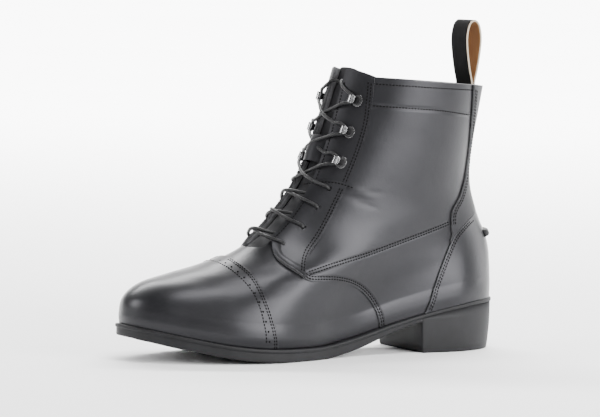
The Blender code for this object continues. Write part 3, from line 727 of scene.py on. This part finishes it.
cap_rows = (shifted(cap_line, -1.4 * MM), shifted(cap_line, -2.9 * MM), inner_line)
sew("cap_stitches", [across_cap(line, 0.03) for line in cap_rows], GAP + LAYER)
holes_line = (shifted(cap_line, -4.6 * MM) + inner_line) / 2
sew("cap_pinholes", [across_cap(holes_line, 0.06)], GAP + LAYER - 0.05 * MM,
    pitch=7.0 * MM, thick=0.75 * MM, long=0.11)

# Counter: the stiff heel piece in the same smooth leather, moulded round the back of
# the last and sewn over both quarters with two rows of stitches.
COUNTER_EDGE = (
    (0.248, -0.060),
    (0.243, 0.120),
    (0.232, 0.170),
    (0.198, 0.300),
    (0.156, 0.413),
    (0.117, 0.460),
    (0.074, 0.495),
    (0.062, 0.524),
    (-0.080, 0.524),
)
ON_QUARTER = LAYER + GAP
counter_line = curve_through(COUNTER_EDGE, 50)
counter_field = np.concatenate([counter_line, [(-0.08, -0.06)]])
panel("counter_leather", (0.0, 0.62), (-0.46, 0.46), (95, 150), ON_QUARTER + LAYER,
      lambda points, level: inside(points, counter_field), LAYER,
      unlined, "counter")


def beside_edge(edge, asides, lowest, highest):
    """Rows of sewing this far beside an edge, on both sides of the last."""
    rows = []
    for side in (1, -1):
        for aside in asides:
            line = shifted(edge, aside)
            line = line[(line[:, 1] > lowest) & (line[:, 1] < highest)]
            rows.append(on_last(line, side))
    return rows


sew("counter_stitches", beside_edge(counter_line, (1.5 * MM, 3.1 * MM), 0.07, 0.47), ON_QUARTER + LAYER)

# Back strip: a strip of duller leather over the seam at the back of the shaft. It runs
# from under the counter to the collar and has two rows of stitches along each edge.
STRIP_EDGE = (
    (0.160, 0.425),
    (0.160, 0.508),
    (0.130, 0.567),
    (0.109, 0.640),
    (0.101, 0.740),
    (0.109, 0.870),
    (0.122, 1.080),
)
strip_line = curve_through(STRIP_EDGE, 40)
strip_field = np.concatenate([strip_line, [(-0.08, 1.08)], (counter_line + (0.0, 0.003))[:20:-1]])
trim_leather = leather("trim_leather", (0.0035, 0.0035, 0.004), (0.006, 0.006, 0.0066), 0.5, 0.30, 0.0)
trim = (trim_leather, trim_leather, edge_tone_and_highlight)
panel("back_strip_leather", (0.38, 1.0), (-0.40, 0.40), (110, 110), ON_QUARTER + LAYER,
      lambda points, level: inside(points, strip_field), LAYER, trim, "back_strip")
sew("strip_stitches", beside_edge(strip_line, (1.5 * MM, 3.3 * MM), 0.45, 0.99), ON_QUARTER + LAYER)

# Facings: the two lace bands of duller leather down the throat, with four holes and
# three hooks each. Their lower parts are covered with the smooth leather of the shaft.
FACING_EDGE = (
    (0.596, 0.290),
    (0.578, 0.350),
    (0.525, 0.440),
    (0.473, 0.562),
    (0.432, 0.686),
    (0.402, 0.811),
    (0.388, 0.918),
    (0.372, 1.080),
)
COVER_LAYER = 0.5 * MM
facing_line = curve_through(FACING_EDGE, 50)
facing_foot = quarter_line[quarter_line[:, 0] > 0.598][::-1]
facing_field = np.concatenate([facing_line, [(0.68, 1.08)], facing_foot])
BELOW_DIVISION = [(0.30, 0.600), (0.30, -0.1), (0.80, -0.1), (0.80, 0.585)]
division_field = np.concatenate([DIVISION, BELOW_DIVISION])


def facing_keep(points, level):
    keep = np.minimum(inside(points, facing_field), clear_of_throat(points, level))
    return np.minimum(np.minimum(keep, clear_of_holes(points)), below_rim(points, level))


def lower_facing_keep(points, level):
    return np.minimum(facing_keep(points, level), inside(points, division_field))


for name, span in (("facing_outer", (0.52, 1.0)), ("facing_inner", (1.0, 1.48))):
    panel(name + "_leather", (0.28, 1.04), span, (200, 110), ON_QUARTER + LAYER, facing_keep,
          LAYER, trim, name)
    panel("lower_" + name, (0.28, 0.75), span, (130, 110), ON_QUARTER + LAYER + COVER_LAYER,
          lower_facing_keep, 0.45 * MM, unlined)
rows = []
low_rows = []
for side in (1, -1):
    for aside in (-1.4 * MM, -3.0 * MM):
        line = shifted(facing_line, aside)
        rows.append(on_last(line[(line[:, 1] > 0.60) & (line[:, 1] < 0.99)], side))
        low_rows.append(on_last(line[(line[:, 1] > 0.30) & (line[:, 1] < 0.61)], side))
    low_rows.append(on_last(shifted(DIVISION, 1.6 * MM), side))
    levels = np.linspace(0.50, 0.985, 160)
    probe = np.linspace(0.5, 1.0, 120)
    columns = []
    for level, aside in zip(levels, throat_half(levels) + 2.2 * MM):
        reach = np.abs(skin(np.full(len(probe), level), probe)[:, 1])
        columns.append(np.interp(aside, reach[::-1], probe[::-1]))
    columns = np.array(columns) if side > 0 else 2 - np.array(columns)
    above = levels > 0.66
    rows.append((levels[above], columns[above]))
    low_rows.append((levels[~above], columns[~above]))
sew("facing_stitches", rows, ON_QUARTER + LAYER)
sew("lower_facing_stitches", low_rows, ON_QUARTER + LAYER + COVER_LAYER)

# Tongue: a soft leather flap behind the laces, sewn at the foot of the throat
# and standing a little higher than the collar.
TONGUE_THICKNESS = 2.4 * MM
TONGUE_RISE = 7 * MM
# The tongue's black leather is coloured darker than the shaft's as painted shade, standing for the deep
# shadow behind the laces.
tongue_leather_painted_shade = leather("tongue_leather_painted_shade", (0.002, 0.002, 0.0022), (0.0035, 0.0035, 0.0038),
                         0.7, 0.35, 0.0)
tongue_top = 1.0 + TONGUE_RISE / COLLAR_FRONT_HEIGHT


def tongue_keep(points, level):
    top = COLLAR_FRONT_HEIGHT * (level - 1.0)
    across = np.abs(points[..., 1]) / (20 * MM)
    return (TONGUE_RISE - 3.0 * MM) * (1 - 0.9 * across**3) - top


panel("tongue_leather_painted_shade", (0.44, tongue_top), (17 / 22, 2 - 17 / 22), (110, 60), -WALL - 2 * GAP,
      tongue_keep, TONGUE_THICKNESS, (tongue_leather_painted_shade, tongue_leather_painted_shade, tongue_leather_painted_shade),
      "tongue")

# Outsole: one plate of moulded black rubber, cemented under the lasted upper, with a lip
# round its top edge, a smooth rim below, and zigzag lugs under the forefoot.
GROOVE_WIDTH = 1.8 * MM
GROOVE_DEPTH = 1.6 * MM
LUG_PITCH = 11.5 * MM
LUG_PERIOD = 15 * MM
LUG_SWING = 5 * MM
TREAD_SHARES = (0.43, 0.962)
WAIST_SHARES = (0.255, 0.415)
CROSS_RIB_SHARES = (0.628, 0.872)


def under(share):
    """Height of the sole plate's underside, flat on the floor at the ball."""
    thick = smooth([row[0] for row in BED], [row[3] for row in BED], share)
    plate = WAIST_THICKNESS + thick * (SOLE_THICKNESS - WAIST_THICKNESS)
    return np.maximum(0.0, bed(share) - plate)


def face_outwards(bm, heart=None, way=None):
    """Turn all faces the same way, then away from the heart or along the way given."""
    bmesh.ops.recalc_face_normals(bm, faces=bm.faces)
    bm.normal_update()
    total = 0.0
    for face in bm.faces:
        aim = Vector(way) if way is not None else face.calc_center_median() - Vector(heart)
        total += face.normal.dot(aim) * face.calc_area()
    if total < 0:
        bmesh.ops.reverse_faces(bm, faces=bm.faces)


def rubber():
    """Moulded black rubber with a faint mottle and fine dust in its grain."""
    material, tree, shader = node_tree("sole_rubber")
    mottle = pattern(tree, "Noise", Scale=60.0, Detail=6.0)
    tint(tree, mottle, (0.005, 0.005, 0.0058), (0.010, 0.010, 0.0115), 0.35, 0.7)
    roughen(tree, mottle, 0.50, 0.66)
    fine = pattern(tree, "Noise", Scale=800.0)
    emboss(tree, fine.outputs["Fac"], 0.25, 0.15 * MM)
    shader.inputs["Specular IOR Level"].default_value = 0.25
    return material


def rim_line(turns, inset):
    """Points of the sole's outline this far in, round both sides from the heel."""
    column = np.mod(turns, 2.0)
    side = np.where(column <= 1.0, 1.0, -1.0)
    turn = np.where(column <= 1.0, column, 2.0 - column)
    share = share_of(turn)
    x = x_at(0) + inset + share * (LENGTH - 2 * inset)
    width = (swell(turn) - inset) * np.sin(np.pi * turn)
    return x, middle(share) + side * width, share


sole_rubber = rubber()
sole_profile = (
    # inset in mm, height from the bed in mm (or None), height from the underside in mm
    (16.0, -0.2, None), (0.9, 0.0, None), (0.35, -0.12, None), (0.05, -0.5, None), (0.0, -1.0, None),
    (0.0, -1.7, None), (0.15, -2.15, None), (0.55, -2.4, None), (0.8, -2.6, None), (0.8, -3.2, None),
    (0.8, None, 1.5), (0.9, None, 0.8), (1.25, None, 0.3), (2.0, None, 0.0), (9.0, None, 0.0),
    (9.3, None, 1.4), (10.7, None, 1.6), (11.0, None, 0.1), (13.6, None, 0.0), (14.0, None, 1.5),
    (16.0, -0.2, None),
)
bm, flat = grid(420, len(sole_profile) - 1)
turns = (flat[:, 0] + 0.5) * 2
rows = np.rint((flat[:, 1] + 0.5) * (len(sole_profile) - 1)).astype(int)
for k, (inset, from_bed, from_under) in enumerate(sole_profile):
    mine = np.where(rows == k)[0]
    x, y, share = rim_line(turns[mine], inset * MM)
    z = bed(share) + from_bed * MM if from_bed is not None else under(share) + from_under * MM
    for index, px, py, pz in zip(mine, x, y, z):
        bm.verts[index].co = (px, py, pz)
bmesh.ops.remove_doubles(bm, verts=bm.verts, dist=1e-6)
face_outwards(bm, heart=(0, 0, 0.02))
finish("sole_rim", bm, (sole_rubber,), "outsole")


def sole_field(name, cells, inset, heights, way):
    """A thin slab inside the sole's outline, its edge tucked behind the rim."""
    bm, flat = grid(*cells)
    share = inset / LENGTH + (flat[:, 0] + 0.5) * (1 - 2 * inset / LENGTH)
    turn = turn_of(np.clip((share * LENGTH - inset) / (LENGTH - 2 * inset), 0, 1))
    half = (swell(turn) - inset) * np.sin(np.pi * turn)
    y = middle(share) + flat[:, 1] * 2 * half
    for vert, *spot in zip(bm.verts, x_at(share), y, heights(share, y, np.abs(flat[:, 1]) * 2)):
        vert.co = spot
    bmesh.ops.remove_doubles(bm, verts=bm.verts, dist=1e-6)
    face_outwards(bm, way=way)
    thicken(finish(name, bm, (sole_rubber,)), 0.8 * MM)


def tread_heights(share, y, across):
    """Zigzag lugs with cut blocks and two cross ribs, and fine ribs in the waist."""
    x = x_at(share)
    swing = np.abs(np.mod(y / LUG_PERIOD, 1.0) - 0.5) * 4 - 1
    row = np.mod((x - x_at(TREAD_SHARES[0]) + swing * LUG_SWING / 2) / LUG_PITCH, 1.0)
    cut = np.clip(1.6 - np.abs(row - 0.5) * LUG_PITCH / (GROOVE_WIDTH * 0.62), 0, 1)
    block = np.abs(np.mod(y / LUG_PERIOD, 1.0) - 0.25) * LUG_PERIOD / GROOVE_WIDTH
    cut = np.maximum(cut, 0.45 * np.clip(1.6 - block, 0, 1))
    rib = np.min([np.abs(share - at) for at in CROSS_RIB_SHARES], axis=0) * LENGTH
    cut = np.where(rib < 4.5 * MM, np.clip(1.4 - np.abs(rib - 3.4 * MM) / (0.8 * MM), 0, 1), cut)
    in_waist = (share > WAIST_SHARES[0]) & (share < WAIST_SHARES[1]) & (across < 0.82)
    waist = np.where(in_waist, 0.3 * (np.mod(x / (3.2 * MM), 1.0) < 0.35), 0.0)
    in_field = (share > TREAD_SHARES[0] + 0.012) & (share < TREAD_SHARES[1])
    return under(share) + np.where(in_field, cut, waist) * GROOVE_DEPTH + 0.02 * MM


sole_field("sole_top", (70, 26), 15 * MM, lambda share, y, across: bed(share) - 0.1 * MM, (0, 0, 1))
sole_field("sole_tread", (300, 92), 13.2 * MM, tread_heights, (0, 0, -1))

# Heel: a rubber block moulded under the plate, with upright sides, a slightly hollow
# breast towards the waist, and a plain tread with one border groove.
HEEL_LENGTH = 72 * MM
HEEL_CORE = 14 * MM
HEEL_WALL = 0.72
BREAST_HOLLOW = 2.5 * MM
LIP_OVERHANG = 0.8 * MM
heel_profile = (
    # inset and height in mm: the wall, the rounded tread edge, and the worn tread
    (0.0, None), (0.0, 24.0), (0.3, 16.0), (1.2, 6.0), (1.85, 1.2), (2.1, 0.5), (2.6, 0.12),
    (3.4, 0.0), (10.0, 0.0), (10.3, 1.4), (12.4, 1.4), (12.7, 0.0), (22.0, 0.0), (28.0, 0.0),
)
bm, flat = grid(160, len(heel_profile) - 1)
heel_turn = float(turn_of(HEEL_LENGTH / LENGTH))


def heel_edge(column, inset):
    x, y, share = rim_line(np.array([column]), min(inset, HEEL_CORE))
    return float(x[0]), float(y[0])


for vert, (way, up, flat_z) in zip(bm.verts, flat):
    inset, height = heel_profile[round((up + 0.5) * (len(heel_profile) - 1))]
    inset = LIP_OVERHANG - 0.1 * MM + inset * MM
    drawn_in = 0.8 * max(inset - HEEL_CORE, 0.0) / HEEL_CORE
    way += 0.5
    if way <= HEEL_WALL:
        x, y = heel_edge(heel_turn * (1 - 2 * way / HEEL_WALL), inset)
        x += (x_at(0) + 32 * MM - x) * drawn_in
    else:
        across = (way - HEEL_WALL) / (1 - HEEL_WALL)
        (x, y), (x_far, y_far) = heel_edge(-heel_turn, inset), heel_edge(heel_turn, inset)
        x -= 4 * across * (1 - across) * BREAST_HOLLOW
        y += (y_far - y) * across
    x = min(x, x_at(HEEL_LENGTH / LENGTH) - inset)
    top = float(bed(share_at(x))) - 2.55 * MM
    vert.co = (x, y * (1 - drawn_in), top if height is None else min(height * MM, top))
bmesh.ops.remove_doubles(bm, verts=bm.verts, dist=2e-5)
holes = [edge for edge in bm.edges if len(edge.link_faces) == 1]
bmesh.ops.holes_fill(bm, edges=holes, sides=0)
face_outwards(bm, heart=(x_at(0.12), 0, 0.012))
finish("heel", bm, (sole_rubber,))

# Insole: a thin footbed covered with dark fabric, glued on the board inside the boot and a little lower
# along its sides than in its middle.
INSOLE_THICKNESS = 3 * MM
insole_cloth = woven_lining()
insole_inset = WELT_LEDGE + WALL + 1.2 * MM
bm, flat = grid(110, 34)
share = insole_inset / LENGTH + (flat[:, 0] + 0.5) * (1 - 2 * insole_inset / LENGTH)
turn = turn_of(np.clip((share * LENGTH - insole_inset) / (LENGTH - 2 * insole_inset), 0, 1))
half = (swell(turn) - insole_inset) * np.sin(np.pi * turn)
for vert, s, h, across in zip(bm.verts, share, half, flat[:, 1] * 2):
    lift = (0.6 + 0.5 * across**4) * MM
    vert.co = (x_at(s), middle(s) + across * h, float(bed(s)) + GAP + INSOLE_THICKNESS - lift)
bmesh.ops.remove_doubles(bm, verts=bm.verts, dist=1e-6)
face_outwards(bm, way=(0, 0, 1))
thicken(finish("insole_sock", bm, (insole_cloth,), "insole"), 2.2 * MM)

# Lace hooks: bent steel strips with a round foot, riveted on the lace bands and
# open towards the heel.
HOOKS = ((0.780, 0.825), (0.865, 0.840), (0.945, 0.850))
HOOK_BEND = 1.7 * MM
HOOK_METAL = 0.9 * MM
HOOK_WIDTH = 4.5 * MM


def beside(level, turn, side):
    """A place on a lace band with its outward, heelward and upward directions."""
    column = np.full(3, turn if side > 0 else 2 - turn)
    around = np.array([level, level - 0.02, level + 0.02])
    (spot, near, far), normals = on_face(around, column, np.full(3, ON_QUARTER + LAYER))
    out = normals[0]
    up = (far - near) / np.linalg.norm(far - near)
    rear = side * np.cross(up, out)
    rear /= np.linalg.norm(rear)
    return spot, out, rear, side * np.cross(out, rear)


def metal():
    """Dark nickel-plated steel, lightly brushed by the laces."""
    material, tree, shader = node_tree("hook_metal")
    rub = pattern(tree, "Noise", Scale=140.0)
    tint(tree, rub, (0.17, 0.17, 0.175), (0.30, 0.30, 0.305))
    roughen(tree, rub, 0.2, 0.3)
    shader.inputs["Metallic"].default_value = 1.0
    return material


hook_metal = metal()
# The rivet's dome is black: partly the stud's own dark finish, partly painted shade for the dark hollow in
# the middle of the hook's foot.
black_stud_and_shade = leather("black_stud_and_shade", (0.003, 0.003, 0.003), (0.006, 0.006, 0.006), 0.35, 0.05, 0.3)
# The strip's run, seen along the band: back, height, half width, all in mm.
strip_run = [(7.4, 0.45, 0.6), (7.0, 0.45, 2.3), (6.0, 0.45, 3.6), (4.2, 0.45, 4.3), (2.2, 0.45, 3.8),
             (0.3, 0.45, 2.6)]
for k in range(1, 12):
    angle = math.radians(270 - 225 * k / 11)
    bend = (HOOK_BEND + HOOK_METAL / 2) / MM
    centre_high = (HOOK_BEND + HOOK_METAL) / MM
    strip_run.append((bend * math.cos(angle), centre_high + bend * math.sin(angle), 2.2 + 0.8 * k / 11))
strip_run += [(1.8, 4.35, 2.8), (2.4, 4.1, 2.2), (2.7, 3.95, 0.9)]
for side, side_name in ((1, "outer"), (-1, "inner")):
    for number, (level, turn) in enumerate(HOOKS, 1):
        spot, out, rear, up = beside(level, turn, side)
        bm, flat = grid(len(strip_run) - 1, 6)
        for vert, (way, across, flat_z) in zip(bm.verts, flat):
            back, high, half = strip_run[round((way + 0.5) * (len(strip_run) - 1))]
            vert.co = spot + (rear * back + out * (high + 0.3) + up * half * across * 2) * MM
        face_outwards(bm, heart=spot + out * 2.9 * MM)
        hook = finish(f"lace_hook_{side_name}_{number}", bm, (hook_metal,),
                      f"hook_{side_name}_{number}")
        thicken(hook, HOOK_METAL, 0.0)
        soften(hook, 0.25 * MM)
        bm = bmesh.new()
        bmesh.ops.create_uvsphere(bm, u_segments=20, v_segments=12, radius=1.0)
        for vert in bm.verts:
            a, b, c = vert.co
            vert.co = spot + (rear * (a * 2.7 + 3.4) + up * b * 3.0 + out * (0.95 + c * 0.55)) * MM
        finish(f"hook_rivet_{side_name}_{number}", bm, (black_stud_and_shade,))

# Laces: thin round waxed cord, crossed through the four pairs of holes and then
# round the hooks, the ends tucked in behind the top of the lace bands.
LACE_RADIUS = 1.2 * MM
lace_cord = plain("lace_cord", "Wave", 420.0, (0.004, 0.004, 0.0045), (0.016, 0.016, 0.017), 0.48, 0.3,
                  (0.5, 0.2 * MM), "DIAGONAL", Distortion=1.5)
LACE_ROUND_HOOK = (
    # back, share of the hook's width, out
    (-5.5, -1.35, 2.2),
    (-2.6, -1.1, 2.4),
    (-0.3, -0.9, 2.5),
    (0.9, -0.4, 2.5),
    (0.9, 0.4, 2.5),
    (-0.3, 0.9, 2.5),
    (-2.6, 1.1, 2.5),
    (-5.0, 1.35, 2.3),
)
# The tucked ends: level, share of the way from the tongue's middle, out.
LACE_END = ((0.975, 0.40, 3.8), (0.990, 0.22, 1.6), (0.985, 0.12, -3.6))
# How far out a strand lies where it crosses its twin, and over the bands' edges.
CREST_OUT = (6.6, 6.6, 6.6, 2.0, 4.2, 4.2)
EDGE_OUT = 4.4
OVER_TWIN = 2.5
hook_reach = HOOK_WIDTH / 2 + LACE_RADIUS - 0.3 * MM
places = [(*place, False) for place in EYELETS] + [(*place, True) for place in HOOKS]
for strand, side in (("lace_first", 1), ("lace_second", -1)):
    path = []
    lift = OVER_TWIN if strand == "lace_second" else 0.0
    for k, (level, turn, is_hook) in enumerate(places):
        spot, out, rear, up = beside(level, turn, side)
        column = turn if side > 0 else 2 - turn
        if is_hook:
            for back, share, high in LACE_ROUND_HOOK:
                path.append(spot + (rear * back + out * high) * MM + up * share * hook_reach)
        else:
            below = level + (0.002 if k else 0.0)
            path += [
                spot_on_face(below, column + (1 - column) * 0.55, -3.1 * MM),
                spot_on_face(level, column + (1 - column) * 0.12, -3.0 * MM),
                spot - out * 2.6 * MM,
                spot + (out * 0.2 - rear * 0.3 + up * 0.1) * MM,
                spot + (out * 1.3 - rear * 1.8 + up * 0.8) * MM,
            ]
        if k + 1 == len(places):
            for end, near, height in LACE_END:
                path.append(spot_on_face(end, 1 + (turn - 1) * side * near, height * MM))
            break
        next_level, next_turn, next_hook = places[k + 1]
        there = 2 - next_turn if side > 0 else next_turn
        crest = CREST_OUT[k] + lift
        if next_hook:
            ways = ((0.22, EDGE_OUT), (0.5, crest), (0.78, EDGE_OUT))
        else:
            ways = ((0.25, EDGE_OUT), (0.5, crest), (0.68, 2.4), (0.8, -1.8))
        for way, height in ways:
            rise = way if next_hook else way**0.6
            at = level + rise * (next_level - level)
            path.append(spot_on_face(at, column + way * (there - column), height * MM))
        side = -side
    curve = bpy.data.curves.new(strand, "CURVE")
    curve.dimensions = "3D"
    curve.bevel_depth = LACE_RADIUS
    curve.bevel_resolution = 3
    curve.resolution_u = 5
    curve.use_fill_caps = True
    spline = curve.splines.new("NURBS")
    spline.points.add(len(path) - 1)
    for point, place in zip(spline.points, path):
        point.co = (*place, 1)
    spline.use_endpoint_u = True
    spline.order_u = 3
    curve.materials.append(lace_cord)
    lace = bpy.data.objects.new(strand, curve)
    bpy.context.scene.collection.objects.link(lace)
    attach(lace, "root")
    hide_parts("lace")

# Lace keeper: a small strap of the duller leather, sewn across the tongue at both ends
# and arched between them.
bm, flat = grid(30, 14)
bulge = np.maximum(np.cos(flat[:, 0] * np.pi), 0.0) ** 1.2
keeper_out = -2.2 * MM + 8.6 * MM * bulge * (0.88 + 0.12 * np.cos(flat[:, 1] * np.pi))
keeper_points, normals = on_face(0.812 + flat[:, 1] * 0.072, 1.0 + flat[:, 0] * 0.20, keeper_out)
for vert, spot in zip(bm.verts, keeper_points):
    vert.co = spot
face_outwards(bm, way=(1, 0, 0.3))
keeper = finish("lace_keeper", bm, (trim_leather,))
thicken(keeper, 1.2 * MM)
soften(keeper, 0.3 * MM)

# Spur rest: a short bar of moulded rubber with rounded ends, fixed across the back of
# the counter to carry a spur's strap.
ON_COUNTER = ON_QUARTER + LAYER + GAP
SPUR_REST_WIDTH = 28 * MM
SPUR_REST_DEPTH = 2.8 * MM
SPUR_REST_BAND = (0.404, 0.430)
probe = np.linspace(0.25, 0.6, 351)
back_seam = skin(probe, np.zeros(len(probe)))
rest_low, rest_high = np.interp(np.array(SPUR_REST_BAND) * COLLAR_FRONT_HEIGHT, back_seam[:, 2], probe)
probe = np.linspace(0, 0.45, 200)
half_widths = skin(np.full(len(probe), (rest_low + rest_high) / 2), probe)[:, 1]
reach = np.interp(SPUR_REST_WIDTH / 2, half_widths, probe)
bm, flat = grid(40, 12)
# The bar's height falls off towards its edges and its ends.
fall = [np.maximum(1 - (2 * np.abs(flat[:, k])) ** power, 0) ** 0.5 for k, power in ((1, 4), (0, 8))]
rest_out = ON_COUNTER - GAP + (SPUR_REST_DEPTH + GAP) * fall[0] * fall[1]
rest_level = (rest_low + rest_high) / 2 + flat[:, 1] * (rest_high - rest_low)
rest_points, normals = on_face(rest_level, flat[:, 0] * 2 * reach, rest_out)
for vert, spot in zip(bm.verts, rest_points):
    vert.co = spot
face_outwards(bm, way=(-1, 0, 0))
thicken(finish("spur_rest_bar", bm, (sole_rubber,), "spur_rest"), 0.6 * MM)

# Pull loop: a doubled ribbon sewn inside the back of the collar, black on its outer face and tan on its
# inner one. Its rims are coloured pale: partly a light woven edge, partly a painted highlight along the
# edges.
LOOP_WIDTH = 20 * MM
LOOP_HEIGHT = 45 * MM
LOOP_DEPTH = 11.5 * MM
LOOP_SEAT = 20 * MM
STRAP_THICKNESS = 1.4 * MM
LOOP_SHAPE = ((0.55, 0.24), (0.90, 0.52), (1.00, 0.74), (0.72, 0.92), (0.26, 0.99))


def ribbon(name, dark, light):
    return plain(name, "Wave", 420.0, dark, light, 0.85, 0.12, (0.4, 0.15 * MM), "Z", Distortion=1.0)


loop_face = ribbon("loop_face", (0.003, 0.003, 0.003), (0.008, 0.0075, 0.0075))
loop_inside = ribbon("loop_inside", (0.17, 0.085, 0.035), (0.30, 0.16, 0.07))
loop_edge_and_highlight = ribbon("loop_edge_and_highlight", (0.30, 0.25, 0.19), (0.44, 0.38, 0.30))
seat_turn = math.asin((LOOP_WIDTH / COLLAR_WIDTH) ** (1 / RINGS[-1][6])) / math.pi
seat = spot_on_face(1.0, seat_turn, -WALL - 2 * GAP)
leg = (STRAP_THICKNESS + GAP) / 2
back_slope = skin(1.0, 0.0) - skin(0.9, 0.0)
half = [(-leg, -LOOP_SEAT), (-leg, -LOOP_SEAT / 2), (-leg, 0.0)]
half += [(-deep * LOOP_DEPTH / 2, high * LOOP_HEIGHT) for deep, high in LOOP_SHAPE]
centre = half + [(-x, z) for x, z in half[::-1]]
run = curve_through(centre, 90)
bm, flat = grid(len(run) - 1, 10)
for vert, (way, across, flat_z) in zip(bm.verts, flat):
    px, pz = run[round((way + 0.5) * (len(run) - 1))]
    shift = back_slope[0] / back_slope[2] * min(pz, 0.0)
    vert.co = (seat[0] + STRAP_THICKNESS + GAP + px + shift, across * LOOP_WIDTH, seat[2] + pz)
face_outwards(bm, heart=(seat[0] + STRAP_THICKNESS, 0, seat[2] + LOOP_HEIGHT * 0.6))
pull_loop = finish("pull_loop_ribbon", bm, (loop_face, loop_inside, loop_edge_and_highlight), "pull_loop")
thicken(pull_loop, STRAP_THICKNESS, 0.0)

# Setting: the boot stands on a matt white board that bends up far behind it, under wide
# soft lamps, with the camera low on its outer side.
azimuth, elevation, roll = 2.61983, 0.07679, 0.01842
DISTANCE = 2.4
TARGET = Vector((0.05936, 0, 0.102))
PAN = 44 * MM
FOCAL_PIXELS = 3502.8
IMAGE_WIDTH = 600
SENSOR_WIDTH = 36
SWEEP_START = 3.6
back = Vector((math.sin(azimuth) * math.cos(elevation), -math.cos(azimuth) * math.cos(elevation),
               math.sin(elevation)))
right = (-back).cross(Vector((0, 0, 1))).normalized()
high = right.cross(-back)
right, high = math.cos(roll) * right + math.sin(roll) * high, math.cos(roll) * high - math.sin(roll) * right

bm = bmesh.new()
bmesh.ops.create_grid(bm, x_segments=80, y_segments=2, size=9.0)
bmesh.ops.rotate(bm, verts=bm.verts, cent=(0, 0, 0), matrix=Matrix.Rotation(azimuth + math.pi / 2, 3, "Z"))
for vert in bm.verts:
    away = -vert.co.dot(Vector((math.sin(azimuth), -math.cos(azimuth), 0)))
    vert.co.z = 0.16 * max(away - SWEEP_START, 0.0) ** 2
floor_mesh = bpy.data.meshes.new("floor")
bm.to_mesh(floor_mesh)
bm.free()
floor = bpy.data.objects.new("floor", floor_mesh)
white_board = plain("pale_floor", "Noise", 1.5, (0.92, 0.92, 0.922), (0.96, 0.96, 0.96), 0.8)
floor_mesh.materials.append(white_board)
bpy.context.scene.collection.objects.link(floor)

world = bpy.data.worlds.new("studio")
world.use_nodes = True
world.node_tree.nodes["Background"].inputs["Color"].default_value = (1.0, 1.0, 1.0, 1)
world.node_tree.nodes["Background"].inputs["Strength"].default_value = 0.18
bpy.context.scene.world = world

camera_data = bpy.data.cameras.new("camera")
camera_data.sensor_width = SENSOR_WIDTH
camera_data.lens = FOCAL_PIXELS * SENSOR_WIDTH / IMAGE_WIDTH
camera = bpy.data.objects.new("camera", camera_data)
bpy.context.scene.collection.objects.link(camera)
camera.location = TARGET + back * DISTANCE + right * PAN
camera.rotation_mode = "QUATERNION"
camera.rotation_quaternion = Matrix((right, high, back)).transposed().to_quaternion()
bpy.context.scene.camera = camera

for name, place, aim, width, height, power in (
    ("key", right * 1.66 + back * 1.22 + Vector((0, 0, 0.55)), (-0.03, 0, 0.12), 1.35, 1.2, 84.0),
    ("front", right * -0.1 + back * 2.2 + Vector((0, 0, 0.9)), (0.05, 0, 0.08), 0.9, 0.9, 6.0),
    ("top", right * 0.25 + back * 0.55 + Vector((0, 0, 1.6)), (0.05, 0, 0.05), 0.8, 0.6, 26.0),
    ("left", right * -1.7 + back * 0.35 + Vector((0, 0, 0.75)), (0.05, 0, 0.08), 0.5, 0.8, 23.0),
    ("heel", Vector((-1.8, 0.2, 0.45)), (-0.1, 0, 0.1), 0.8, 0.8, 15.0),
    ("sweep", back * -3.0 + Vector((0, 0, 3.6)), back * -5.5, 6.0, 2.5, 1900.0),
    ("rear", back * -1.5 + right * 0.5 + Vector((0, 0, 1.3)), (-0.05, 0, 0.12), 1.2, 0.9, 9.0),
):
    lamp = bpy.data.lights.new(name, "AREA")
    lamp.shape = "RECTANGLE"
    lamp.size = width
    lamp.size_y = height
    lamp.energy = power
    made = bpy.data.objects.new(name, lamp)
    made.location = place
    made.rotation_mode = "QUATERNION"
    made.rotation_quaternion = (Vector(aim) - Vector(place)).to_track_quat("-Z", "Y")
    bpy.context.scene.collection.objects.link(made)
